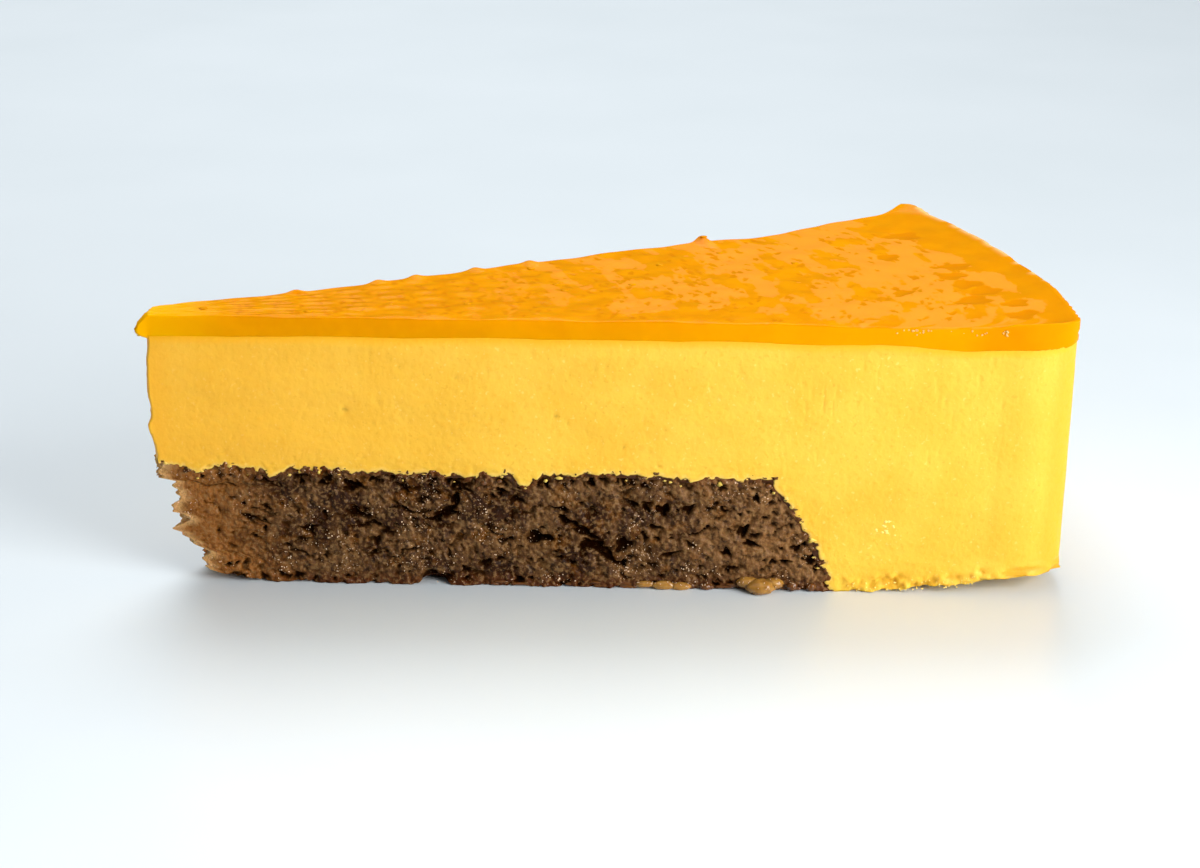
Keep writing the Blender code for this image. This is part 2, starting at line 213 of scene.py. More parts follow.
def make_finish(name, base, noises=None, facts=(), rows=(), fine_relief=None, values=None):
    """A finish from its base colour, noises (size in mm and detail), facts of the mesh, and rows.

    A row is a tint or a shader value, and then one or more ranges, which are multiplied: a
    driver, the low and high value that it goes between, and the share at each of them.
    """
    material = bpy.data.materials.new(name)
    material.use_nodes = True
    tree = material.node_tree
    shader = tree.nodes["Principled BSDF"]
    place = add_node(tree, "ShaderNodeTexCoord").outputs["Object"]
    drivers = {}
    for fact in facts:
        drivers[fact] = add_node(tree, "ShaderNodeAttribute", {"attribute_name": fact}).outputs["Fac"]
    for noise, (size, detail) in (noises or {}).items():
        drivers[noise] = add_node(tree, "ShaderNodeTexNoise", {}, {
            "Vector": place, "Scale": per_mm(size), "Detail": detail}).outputs["Fac"]
    set_inputs(tree, shader, values or {})
    colour = hex_colour(base)
    for goal, *ranges in rows:
        share = None
        for driver, low, high, start, end in ranges:
            graded = add_node(tree, "ShaderNodeMapRange", {"interpolation_type": "SMOOTHSTEP"}, {
                "Value": drivers[driver], "From Min": low, "From Max": high, "To Min": start, "To Max": end})
            if share is not None:
                graded = add_node(tree, "ShaderNodeMath", {"operation": "MULTIPLY"}, {
                    0: share, 1: graded.outputs[0]})
            share = graded.outputs[0]
        if goal.startswith("#"):
            colour = add_node(tree, "ShaderNodeMix", {"data_type": "RGBA"}, {
                0: share, 6: colour, 7: hex_colour(goal)}).outputs[2]
        else:
            set_inputs(tree, shader, {goal: share})
    set_inputs(tree, shader, {"Base Color": colour})
    if fine_relief:
        driver, strength, depth = fine_relief
        relief = add_node(tree, "ShaderNodeBump", {}, {
            "Height": drivers[driver], "Strength": strength, "Distance": depth * MM})
        set_inputs(tree, shader, {"Normal": relief.outputs["Normal"]})
    return material


print("mousse yellow in linear light:", [round(c, 3) for c in hex_colour("#F9BB39")])

# %% [markdown]
# ## The floor
# A plain pale board under the slice. It is one large flat mesh. Its satin paint is almost
# white and a little cool, with a very faint mottling, so that it reads as a painted surface and
# not as empty space.

# %% Lay the floor
FLOOR_HALF = 3.0

floor_mesh = bpy.data.meshes.new("floor")
corners = [(x * FLOOR_HALF, y * FLOOR_HALF, 0.0) for x, y in ((-1, -1), (1, -1), (1, 1), (-1, 1))]
floor_mesh.from_pydata(corners, [], [(0, 1, 2, 3)])
floor = add_object("floor", floor_mesh)
floor.data.materials.append(make_finish(
    "satin_painted_board", "#D2DBE0", noises={"mottle": (60.0, 2.0)},
    rows=[("#DAE2E7", ("mottle", -0.25, 1.25, 0.0, 1.0))], values={"Roughness": 0.35}))
floor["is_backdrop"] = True
print("floor is", 2 * FLOOR_HALF, "m wide")

# %% [markdown]
# ## The wedge
# Every layer is a bent block: u runs from the tip to the outer side, v across from the near
# cut (-1) to the far cut (1), and w up. The same named sizes as the solid model's are used
# here, so a layer made this way lies exactly where the plain solid was.

# %% Name the sizes of the cake and of the cut
CAKE_RADIUS = 130.0
HALF_ANGLE = math.radians(28.7) / 2
CAKE_HEIGHT = 40.5
JELLY_THICKNESS = 3.1
SPONGE_HEIGHT = 17.3
SPONGE_TOP_RADIUS = 88.0
SPONGE_BASE_RADIUS = 97.3
TIP_X = -64.2
TIP_Y = -1.3
NEAR = -1
FAR = 1
print("sponge ends at", SPONGE_TOP_RADIUS, "to", SPONGE_BASE_RADIUS, "mm of", CAKE_RADIUS)

# %% [markdown]
# Three small curves do most of the shaping: a smooth step, a rounded hill, and a cloud of
# random hills. The cloud reads a fixed table of random numbers, so it is the same each run.

# %% Write the shaping curves
LATTICE = 256


def smooth(low, high, value):
    """Rise smoothly from 0 to 1 while value goes from low to high."""
    t = np.clip((value - low) / (high - low), 0.0, 1.0)
    return t * t * (3.0 - 2.0 * t)


def bump(value, centre, width):
    """A single rounded hill of height 1."""
    return np.exp(-((value - centre) / width) ** 2)


def waves(s, z, seed, length):
    """Gentle unevenness of about -1 to 1, from a few sine waves of unlike lengths."""
    rng = np.random.default_rng(seed)
    total = np.zeros(np.broadcast(s, z).shape)
    for step in range(5):
        turn = rng.uniform(0.0, math.tau)
        pace = math.tau / (length * rng.uniform(0.6, 1.6))
        total += np.sin(pace * (s * math.cos(turn) + z * math.sin(turn)) + step * 1.7)
    return total / 3.0


def cloud(s, z, seed, size):
    """Random hills of about -1 to 1, size millimetres apart."""
    lattice = np.random.default_rng(seed).uniform(-1.0, 1.0, (LATTICE, LATTICE))
    a, b = np.broadcast_arrays(np.asarray(s, float) / size, np.asarray(z, float) / size)
    i, j = np.floor(a).astype(int), np.floor(b).astype(int)
    p, q = smooth(0.0, 1.0, a - i), smooth(0.0, 1.0, b - j)

    def corner(right, above):
        return lattice[(i + right) % LATTICE, (j + above) % LATTICE]

    low = corner(0, 0) * (1.0 - p) + corner(1, 0) * p
    high = corner(0, 1) * (1.0 - p) + corner(1, 1) * p
    return low * (1.0 - q) + high * q


def rough(s, z, seed, size, octaves):
    """Clouds of ever smaller size on top of one another."""
    total = 0.0
    for step in range(octaves):
        total = total + cloud(s, z, seed + step, size / 2 ** step) / 2 ** step
    return total


print("a cloud at four places:", np.round(cloud(np.arange(4.0), 0.0, 1, 1.7), 2))

# %% [markdown]
# The knife didn't cut straight. The far cut is blunt at the tip, drifts outwards, and bows in
# before the corner. The outer side swells on the near half, is drawn in on the far half, and
# its two upright corners are rounded. Each of these is one term with its own named size, which
# is easier to match to the real slice than a drawn outline.

# %% Shape the wedge seen from above
TIP_BLUNT = 3.1
TIP_BLUNT_LENGTH = 17.0
TIP_SLANT = 2.0
FAR_CUT_OFFSET = 0.8
DRIFT_START, DRIFT_END = 45.0, 95.0
BOW_DEPTH = 1.8
BOW_PLACE = 99.4
BOW_WIDTH = 7.5
CORNER_FLARE = 1.7
FLARE_START = 121.0
RIDGE_HEIGHT = 0.7
RIDGE_PLACE = 115.0
RIDGE_WIDTH = 5.0
NEAR_CORNER = {"length": 9.2, "width": 3.5}
FAR_CORNER = {"length": 2.1, "width": 3.8}
NEAR_SWELL = 0.45
FAR_DRAW = 0.5
CORNER_GROWTH = 0.15
CORNER_START = 100.0


def far_offset(r):
    """How far the far cut stands out from the plane that it was meant to follow."""
    blunt = TIP_BLUNT * np.exp(-(r / TIP_BLUNT_LENGTH) ** 2)
    drift = FAR_CUT_OFFSET * (1.0 - smooth(DRIFT_START, DRIFT_END, r))
    ridge = RIDGE_HEIGHT * bump(r, RIDGE_PLACE, RIDGE_WIDTH)
    flare = CORNER_FLARE * smooth(FLARE_START, CAKE_RADIUS, r) + ridge
    return blunt + drift - BOW_DEPTH * bump(r, BOW_PLACE, BOW_WIDTH) + flare


def plan(r, v, nose):
    """Where a point lies seen from above: r from the tip, v across, nose ahead of the tip."""
    angle = v * HALF_ANGLE
    ahead = np.maximum(r, 0.0)
    before = np.minimum(r, 0.0)
    far_share = 0.5 * (1.0 + v)
    offset = far_share * far_offset(ahead)
    slant = TIP_SLANT * far_share ** 2 * np.exp(-ahead / 4.0)
    x = ahead * np.cos(angle) - offset * math.sin(HALF_ANGLE) + slant + before
    y = ahead * np.sin(angle) + offset * math.cos(HALF_ANGLE)
    return x, y * np.sqrt(np.maximum(1.0 - 0.8 * (before / nose) ** 2, 0.05))


def end_share(r):
    """How far a row is past the start of the outer end, from 0 to 1 at the outer side."""
    return np.clip((r - CORNER_START) / (CAKE_RADIUS - CORNER_START), 0.0, 1.0)


def rounded_end(r, v, up):
    """Shape the outer side: swollen near, drawn in far, with two round upright corners."""
    growth = 1.0 + CORNER_GROWTH * (1.0 - up)
    from_edge = (1.0 - np.abs(v)) * HALF_ANGLE * CAKE_RADIUS
    uneven = FAR_DRAW * smooth(0.6, 1.0, v) - NEAR_SWELL * smooth(-0.2, 0.5, -v)
    drawn_in = np.zeros_like(r)
    for corner, side in ((NEAR_CORNER, v < 0.0), (FAR_CORNER, v > 0.0)):
        short = np.clip(1.0 - from_edge / (growth * corner["width"]), 0.0, 1.0)
        curve = growth * corner["length"] * (1.0 - np.sqrt(1.0 - short ** 2))
        drawn_in = np.where(side, curve, drawn_in)
    return r - (drawn_in + uneven) * end_share(r)


print("the far cut stands out by", [round(float(far_offset(r)), 2) for r in (0.0, 60.0, 99.4, 130.0)], "mm")

# %% [markdown]
# The layers' heights are next. The soft outer end of the slice hangs a little over the board,
# the sponge's top is uneven, and the mousse's top is nearly level, because it was poured.

# %% Shape the wedge's heights
TIP_LIFT = 1.8
SPONGE_TIP_BASE = 6.7
TIP_LIFT_LENGTH = 11.5
TIP_LIFT_CURVE = 1.8
END_LIFT = 2.7
END_LIFT_CURVE = 1.6
SPONGE_BULGE = 1.0
SPONGE_WAVE = 0.3
TIP_RISE = 0.9
TIP_RISE_LENGTH = 25.0
MOUSSE_SWELL = 0.3
SWELL_END = 110.0
MOUSSE_DROOP = 0.45
DROOP_START, DROOP_END = 104.0, 122.0
MOUSSE_WAVE = 0.08


def base(r):
    """Height of the underside, which rises a little at the tip and at the outer end."""
    tip_share = np.clip(1.0 - (r - SPONGE_TIP_BASE) / TIP_LIFT_LENGTH, 0.0, 1.2)
    return TIP_LIFT * tip_share ** TIP_LIFT_CURVE + END_LIFT * end_share(r) ** END_LIFT_CURVE


def sponge_side(up):
    """Radius of the sponge's slanting, slightly bulging outer side, up from 0 to 1."""
    lean = SPONGE_BASE_RADIUS + (SPONGE_TOP_RADIUS - SPONGE_BASE_RADIUS) * up
    return lean + SPONGE_BULGE * np.sin(math.pi * up)


def sponge_top(r, v):
    """Height of the sponge's uneven top, a little higher towards the tip."""
    rise = TIP_RISE * np.exp(-np.maximum(r, 0.0) / TIP_RISE_LENGTH)
    return SPONGE_HEIGHT + rise + SPONGE_WAVE * waves(r, 12.0 * v, 11, 24.0)


def mousse_top(r, v):
    """Height of the nearly level top of the mousse, under the jelly."""
    level = CAKE_HEIGHT - JELLY_THICKNESS
    swell = MOUSSE_SWELL * np.sin(math.pi * np.clip(r, 0.0, SWELL_END) / SWELL_END)
    droop = MOUSSE_DROOP * smooth(DROOP_START, DROOP_END, r)
    return level + swell - droop + MOUSSE_WAVE * waves(r, 30.0 * v, 12, 14.0)


print("the outer end hangs", END_LIFT, "mm over the board")

# %% [markdown]
# ## Turning a layer into a mesh
# One function makes an object from points in millimetres. It also writes extra facts about
# each point, such as how deep it lies in a pore, as named attributes. A finish can read those
# later, so colour and shape agree exactly. Another function lays a fine grid over all six
# sides of a bent block. A simulation or a sculpt could make such a surface too, but a grid
# keeps every hole where it belongs.

# %% Write the piece maker
BOX_MARGIN = 0.005 * MM


def make_piece(name, places, faces, facts):
    """A smooth mesh from points in mm from the tip, kept inside the solid model's box."""
    low, high = (np.array(corner) for corner in cad_box)
    places = (places + np.array([TIP_X, TIP_Y, 0.0])) * MM
    mesh = bpy.data.meshes.new(name)
    mesh.from_pydata(np.clip(places, low + BOX_MARGIN, high - BOX_MARGIN).tolist(), [], faces)
    mesh.shade_smooth()
    for fact, values in facts.items():
        values = (np.zeros(len(places)) + values).astype(np.float32)
        mesh.attributes.new(fact, "FLOAT", "POINT").data.foreach_set("value", values)
    return add_object(name, mesh)


def dress(piece, layer, material):
    """Give a piece its finish, and let it stand for the plain solid of its layer."""
    piece.data.materials.append(material)
    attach(piece, "root")
    if layer:
        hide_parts(layer)
    triangles = sum(len(face.vertices) - 2 for face in piece.data.polygons)
    print(piece.name, "has", triangles, "triangles")


print("pieces stay", BOX_MARGIN / MM, "mm inside the box")

# %% Write the block maker
CORNER_STEPS = (0.0, 0.03, 0.1, 0.2, 0.35, 0.55, 0.85, 1.25, 1.7, 2.25, 2.9, 3.7)


def block_mesh(name, point, along, across, up, plain_bottom=False):
    """A closed mesh of quads over the six sides of a bent block."""
    shape = (len(along), len(across), len(up))
    used = np.zeros(shape, bool)
    used[[0, -1]] = True
    used[:, [0, -1]] = True
    used[:, :, -1] = True
    if not plain_bottom:
        used[:, :, 0] = True
    number = np.full(shape, -1)
    number[used] = np.arange(used.sum())
    i, j, k = np.nonzero(used)
    x, y, z, facts = point(np.array(along)[i], np.array(across)[j], np.array(up)[k])

    def quads(a, b, c, d):
        return np.stack([side.ravel() for side in (a, b, c, d)], axis=1).tolist()

    faces = quads(number[:-1, :-1, -1], number[1:, :-1, -1], number[1:, 1:, -1], number[:-1, 1:, -1])
    faces += quads(number[:-1, 0, :-1], number[1:, 0, :-1], number[1:, 0, 1:], number[:-1, 0, 1:])
    faces += quads(number[:-1, -1, :-1], number[:-1, -1, 1:], number[1:, -1, 1:], number[1:, -1, :-1])
    faces += quads(number[0, :-1, :-1], number[0, :-1, 1:], number[0, 1:, 1:], number[0, 1:, :-1])
    faces += quads(number[-1, :-1, :-1], number[-1, 1:, :-1], number[-1, 1:, 1:], number[-1, :-1, 1:])
    if plain_bottom:
        faces += quads(number[1:-2, 0, 0], number[1:-2, -1, 0], number[2:-1, -1, 0], number[2:-1, 0, 0])
        faces.append([*number[0, :, 0].tolist(), int(number[1, -1, 0]), int(number[1, 0, 0])])
        faces.append([*number[-1, ::-1, 0].tolist(), int(number[-2, 0, 0]), int(number[-2, -1, 0])])
    else:
        faces += quads(number[:-1, :-1, 0], number[:-1, 1:, 0], number[1:, 1:, 0], number[1:, :-1, 0])
    return make_piece(name, np.stack([x, y, z], axis=1), faces, facts)


def across_rows(middle, steps=CORNER_STEPS):
    """Shares from -1 to 1, with close rows along both cuts, where the corners are round."""
    edge = np.array(steps) / (HALF_ANGLE * CAKE_RADIUS)
    inner = np.linspace(-1.0 + edge[-1], 1.0 - edge[-1], middle + 2)[1:-1]
    return np.concatenate([edge - 1.0, inner, 1.0 - edge[::-1]])


print("rows along a rounded corner:", len(CORNER_STEPS))

# %% [markdown]
# ## Sheets of relief
# A cut through cake shows holes, cracks and torn grains. Sculpting each by hand would take
# hours, and plain noise has no holes with rims. So each cut face gets a sheet: a fine grid of
# depths, into which holes of a chosen place and size are pressed one by one. The mesh then
# reads its relief from the sheet. This keeps holes where the real slice has them.

# %% Write the sheet tools
SHEET_STEP = 0.1
SHEET_START_S = -3.0
SHEET_START_Z = -2.0
SHEET_SHAPE = (1360, 460)


def press(sheet, s, z, half_s, half_z, depth, turn=0.0, phase=0.0, ragged=0.3, steep=4.0):
    """Press one hole with steep walls and a ragged rim; turn tilts it in the face."""
    reach = 1.7 * max(half_s, half_z) + SHEET_STEP
    first_i = max(int((s - reach - SHEET_START_S) / SHEET_STEP), 0)
    first_j = max(int((z - reach - SHEET_START_Z) / SHEET_STEP), 0)
    last_i = int((s + reach - SHEET_START_S) / SHEET_STEP) + 1
    last_j = int((z + reach - SHEET_START_Z) / SHEET_STEP) + 1
    window = sheet[first_i:last_i, first_j:last_j]
    if window.size == 0:
        return
    i, j = np.indices(window.shape)
    ds = (i + first_i) * SHEET_STEP + SHEET_START_S - s
    dz = (j + first_j) * SHEET_STEP + SHEET_START_Z - z
    along = (math.cos(turn) * ds + math.sin(turn) * dz) / half_s
    above = (math.cos(turn) * dz - math.sin(turn) * ds) / half_z
    bearing = np.arctan2(above, along)
    rim = 1.0 + ragged * (0.6 * np.sin(3 * bearing + phase) + 0.4 * np.sin(5 * bearing + 2.3 * phase))
    shape = np.exp(-(np.hypot(along, above) / rim) ** steep)
    np.maximum(window, depth * shape, out=window)


def crack(sheet, start, end, width, depth, seed):
    """A thin torn line from start to end, that wanders a little."""
    rng = np.random.default_rng(seed)
    steps = max(int(math.dist(start, end) / (0.7 * width)), 2)
    for step in range(steps + 1):
        share = step / steps
        s = start[0] + (end[0] - start[0]) * share + 0.25 * math.sin(9.0 * share + seed)
        z = start[1] + (end[1] - start[1]) * share + 0.3 * math.sin(7.0 * share + 2 * seed)
        press(sheet, s, z, width * rng.uniform(0.7, 1.5), width * rng.uniform(0.5, 1.0), depth, phase=step)


def read_sheet(sheet, s, z):
    """The sheet's value between its grid points."""
    a = np.clip((s - SHEET_START_S) / SHEET_STEP, 0.0, SHEET_SHAPE[0] - 1.001)
    b = np.clip((z - SHEET_START_Z) / SHEET_STEP, 0.0, SHEET_SHAPE[1] - 1.001)
    i, j = a.astype(int), b.astype(int)
    p, q = a - i, b - j
    low = sheet[i, j] * (1 - p) + sheet[i + 1, j] * p
    high = sheet[i, j + 1] * (1 - p) + sheet[i + 1, j + 1] * p
    return low * (1 - q) + high * q


print("a sheet has", SHEET_SHAPE[0] * SHEET_SHAPE[1], "points,", SHEET_STEP, "mm apart")

# %% [markdown]
# A relief is the height of a cut face over its plane. Each layer has one for either face, and
# the points between the two faces move by a mixture of both.

# %% Write the carving of both faces


def swing(x, y, v, near_out, far_out):
    """Move points out of the two cut faces, each face by its own relief."""
    shift = 0.5 * (1.0 + v) * far_out - 0.5 * (1.0 - v) * near_out
    return x - shift * np.sin(v * HALF_ANGLE), y + shift * np.cos(v * HALF_ANGLE)


def carve(relief, s, z, x, y, v, *more):
    """Give both cut faces their relief; the facts are those of the face that is nearer."""
    near_out, *near = relief(s, z, NEAR, *more)
    far_out, *far = relief(s, z, FAR, *more)
    x, y = swing(x, y, v, near_out, far_out)
    return x, y, [np.where(v < 0.0, a, b) for a, b in zip(near, far)]


print("faces to carve:", (NEAR, FAR))

# %% [markdown]
# ## The line between sponge and mousse
# The mousse was poured on a torn, crumbly sponge, so the line between them is ragged, with
# dips where mousse ran into a hole. Both layers run past that line by a little, and each
# draws back behind the other, so the crumbs themselves decide which one shows.

# %% Find how far a point is inside the sponge
OVERLAP = 0.7
LINE_RAGGED = 0.34
LINE_TORN = 0.30
SLOPE_RAGGED = 0.45
FACE_TORN = 0.22
SLOPE_COSINE = 0.88
# place, half width and depth of each dip
NEAR_DIPS = ((52.9, 1.7, 1.5), (16.6, 0.9, 1.3), (5.6, 1.2, 0.7), (83.6, 0.7, 0.6), (28.6, 0.8, 0.4))
FAR_DIPS = ((37.0, 1.5, 1.1), (66.0, 1.1, 0.9))


def top_line(s, side):
    """Height of the sponge's top edge on a cut face."""
    height = sponge_top(s, float(side))
    height = height + LINE_RAGGED * cloud(s, 0.0 * s, 50 + side, 1.3)
    height = height + LINE_TORN * cloud(s, 0.0 * s, 60 + side, 0.5)
    for place, width, depth in (NEAR_DIPS if side == NEAR else FAR_DIPS):
        height = height - depth * np.exp(-((s - place) / width) ** 4)
    return height


def inside_sponge(s, z, side):
    """Millimetres from a point of a cut face to the edge of the sponge, more than 0 inside."""
    share = np.clip(z / SPONGE_HEIGHT, 0.0, 1.0)
    ragged = SLOPE_RAGGED * cloud(z, 0.0 * z, 70 + side, 1.2)
    ragged = ragged + SLOPE_RAGGED * cloud(z, 0.0 * z, 80 + side, 0.45)
    torn = FACE_TORN * cloud(s, z, 85 + side, 0.45)
    return np.minimum(top_line(s, side) - z, SLOPE_COSINE * (sponge_side(share) + ragged - s)) + torn


print("sponge top on the near face at 50 mm:", round(float(top_line(np.array(50.0), NEAR)), 2), "mm")

# %% [markdown]
# ## The sponge
# Banana sponge is dense and moist. A knife tears it: large hollows, thin cracks, hundreds of
# small pores, and grains that stand up between them. The holes that the eye notices have
# their own places in a short list, and seeded random draws fill in the smaller ones.

# %% List the hollows and cracks of the sponge
# along, up, half length, half height, depth and tilt of each hollow
NEAR_HOLLOWS = (
    (27.9, 15.2, 0.95, 0.75, 1.6, -0.3),
    (49.3, 14.6, 0.55, 0.5, 1.3, 0.0),
    (54.8, 7.6, 1.8, 0.75, 1.6, 0.05),
    (42.9, 15.6, 0.8, 0.5, 1.0, 0.4),
    (43.0, 13.6, 0.5, 1.6, 1.3, -0.2),
    (41.7, 11.4, 1.5, 0.7, 1.2, 0.3),
    (39.9, 10.3, 1.3, 0.4, 1.1, 0.25),
    (58.9, 10.3, 1.6, 0.45, 1.1, -0.35),
    (61.5, 8.6, 2.2, 0.6, 1.0, -0.5),
    (63.3, 6.4, 1.5, 0.8, 1.1, -0.3),
    (66.9, 6.6, 1.2, 1.0, 1.1, 0.7),
    (57.9, 12.1, 1.4, 0.35, 0.9, -0.15),
    (72.6, 12.2, 1.0, 0.8, 1.2, 0.0),
    (76.3, 12.4, 1.1, 0.6, 0.8, 0.4),
    (84.2, 9.1, 0.9, 0.7, 1.2, 0.8),
    (85.3, 7.2, 1.1, 0.45, 1.0, -0.2),
    (81.8, 5.8, 0.7, 0.6, 1.1, 0.0),
    (85.9, 14.2, 0.5, 0.6, 1.0, 0.2),
    (91.8, 6.5, 0.8, 0.5, 0.9, -0.1),
    (93.9, 4.5, 0.8, 0.45, 1.0, -0.2),
    (90.3, 4.4, 0.9, 0.3, 0.9, 0.1),
    (28.6, 11.0, 1.6, 0.7, 0.8, -0.4),
    (32.9, 8.2, 1.2, 0.6, 0.7, -0.2),
    (24.6, 16.2, 0.7, 0.45, 0.9, 0.0),
    (16.0, 16.0, 1.6, 0.5, 0.8, 0.1),
    (13.4, 10.0, 1.1, 0.6, 0.7, -0.4),
    (22.0, 8.8, 0.9, 0.25, 0.8, 0.1),
    (39.7, 1.1, 2.3, 1.0, 1.0, 0.05),
    (31.0, 16.2, 0.8, 0.3, 0.9, 0.4),
    (62.3, 16.3, 0.5, 0.8, 1.1, 0.1),
    (55.9, 15.9, 0.4, 0.45, 1.1, 0.0),
    (66.9, 3.9, 0.7, 0.45, 1.2, 0.2),
    (73.9, 5.4, 1.6, 0.3, 0.9, 0.25),
)
# start, end, width and depth of each crack
NEAR_CRACKS = (
    ((33.6, 11.9), (39.0, 11.2), 0.22, 0.8),
    ((5.0, 15.3), (11.4, 14.9), 0.2, 0.55),
    ((6.4, 12.8), (9.2, 10.9), 0.2, 0.5),
    ((13.2, 11.4), (17.2, 10.6), 0.2, 0.6),
    ((62.6, 6.6), (66.0, 3.6), 0.3, 0.9),
    ((34.0, 4.4), (36.2, 5.6), 0.2, 0.7),
    ((46.6, 9.4), (49.4, 8.0), 0.22, 0.7),
    ((76.4, 8.2), (79.3, 9.6), 0.24, 0.8),
    ((88.2, 8.6), (90.6, 10.2), 0.2, 0.6),
    ((19.0, 5.2), (22.2, 4.2), 0.2, 0.5),
)
print("hollows:", len(NEAR_HOLLOWS), "cracks:", len(NEAR_CRACKS))

# %% Press the pores into the sponge's two faces
PORED_LENGTH = 98.0
PORED_HEIGHT = 19.0
MIDDLING_PORES = 340
SMALL_PORES = 2300
EDGE_PORES = 90
GRAIN_COUNT = 2600


def pore_sheet(side):
    """Every hole of one cut face of the sponge, as depths in millimetres."""
    rng = np.random.default_rng(400 + side)
    sheet = np.zeros(SHEET_SHAPE)
    for number in range(SMALL_PORES):
        size = rng.uniform(0.16, 0.36)
        press(sheet, rng.uniform(0.0, PORED_LENGTH), rng.uniform(-0.5, PORED_HEIGHT),
              size * rng.uniform(0.9, 1.6), size, rng.uniform(0.12, 0.35), rng.normal(0.0, 0.5), number)
    for number in range(MIDDLING_PORES):
        size = 0.3 + 0.5 * rng.uniform() ** 2
        press(sheet, rng.uniform(8.0, PORED_LENGTH), rng.uniform(0.0, 18.5), size * rng.uniform(0.9, 2.0),
              size * rng.uniform(0.5, 0.9), rng.uniform(0.35, 0.85), rng.normal(0.0, 0.5), number, 0.4)
    for number in range(EDGE_PORES):
        s, size = rng.uniform(3.0, 95.0), rng.uniform(0.2, 0.55)
        z = min(float(top_line(s, side)), (SPONGE_BASE_RADIUS - s) * 1.8) - rng.uniform(0.5, 1.8)
        press(sheet, s, z, size * rng.uniform(0.8, 1.8), size,
              rng.uniform(0.4, 0.9), rng.normal(0.0, 0.5), number, 0.5)
    for number, (s, z, half_s, half_z, depth, turn) in enumerate(NEAR_HOLLOWS):
        if side == FAR:
            s, z, turn = (s * 1.37 + 11.0) % 92.0, 1.5 + (z * 1.9 + 4.0) % 15.0, -turn
        press(sheet, s, z, half_s, half_z, depth, turn, number, 0.45)
    for number, (start, end, width, depth) in enumerate(NEAR_CRACKS):
        move = 0.0 if side == NEAR else 21.0
        crack(sheet, (start[0] + move, start[1]), (end[0] + move, end[1]), width, depth, number + side + 1)
    return sheet


def grain_sheet(side):
    """Grains that stand up out of a torn face, as heights in millimetres."""
    rng = np.random.default_rng(500 + side)
    sheet = np.zeros(SHEET_SHAPE)
    for number in range(GRAIN_COUNT):
        size = rng.uniform(0.18, 0.40)
        press(sheet, rng.uniform(0.0, PORED_LENGTH), rng.uniform(-0.5, PORED_HEIGHT), size * 1.2, size,
              rng.uniform(0.10, 0.30), rng.uniform(0.0, 3.0), number, 0.3, 2.5)
    return sheet


PORES = {side: pore_sheet(side) for side in (NEAR, FAR)}
GRAINS = {side: grain_sheet(side) for side in (NEAR, FAR)}
print("deepest pore:", round(float(PORES[NEAR].max()), 2), "mm")

# %% [markdown]
# The torn face is more than its holes. Soft lumps, finer unevenness and single grains are
# added up. At the line to the mousse the crumb draws back.

# %% Write the sponge's relief
LUMP_HEIGHT = 0.22
SMALL_LUMP_HEIGHT = 0.12
FINE_HEIGHT = 0.10
TIP_SHARE = 0.35
CRUMB_SETBACK = 0.1
CRUMB_DRAWN_BACK = 0.34
DRAWN_OVER = 0.8


def sponge_relief(s, z, side):
    """Height of a cut face of the sponge over its plane, and how deep its holes are."""
    holes = read_sheet(PORES[side], s, z)
    lumps = LUMP_HEIGHT * rough(s, z, 100 + side, 3.6, 2) + SMALL_LUMP_HEIGHT * cloud(s, z, 110 + side, 1.1)
    fine = FINE_HEIGHT * cloud(s, z, 120 + side, 0.5)
    grains = read_sheet(GRAINS[side], s, z)
    fade = TIP_SHARE + (1.0 - TIP_SHARE) * smooth(2.0, 14.0, s)
    edge = inside_sponge(s, z, side)
    drawn_back = CRUMB_DRAWN_BACK * np.clip(0.15 - edge, 0.0, DRAWN_OVER) / DRAWN_OVER
    out = fade * (lumps + fine + grains - holes) - drawn_back - CRUMB_SETBACK
    return out, holes, edge


relief_there = sponge_relief(np.array(50.0), np.array(8.0), NEAR)[0]
print("crumb stands out by", round(float(relief_there), 2), "mm in the middle")

# %% [markdown]
# The tip of the sponge is crumbled away below the mousse, and loose scraps stick out of it.
# A short list of heights and distances gives that outline, and clouds make it ragged.

# %% Shape the sponge
TIP_SETBACK = 1.3
TOOTH_DEPTH = 1.1
# height, and distance of the crumbled end from the tip
TIP_OUTLINE = (
    (1.8, 6.9), (2.4, 6.5), (3.4, 6.1), (4.3, 6.6), (4.8, 6.7), (5.2, 5.1), (6.1, 4.0), (7.0, 2.9),
    (7.5, 2.3), (8.0, 2.6), (8.5, 3.4), (9.4, 4.2), (9.9, 3.9), (10.3, 2.6), (11.6, 2.5), (12.2, 3.4),
    (13.1, 2.8), (14.5, 2.9), (15.0, 2.7), (15.4, 0.3), (15.9, 0.35), (16.8, 1.0), (17.7, 0.3), (18.5, 0.2),
)
# place, half width and height of each notch in the near lower edge
BASE_NOTCHES = ((39.6, 1.9, 1.3), (66.5, 0.9, 0.35), (20.5, 1.2, 0.25))


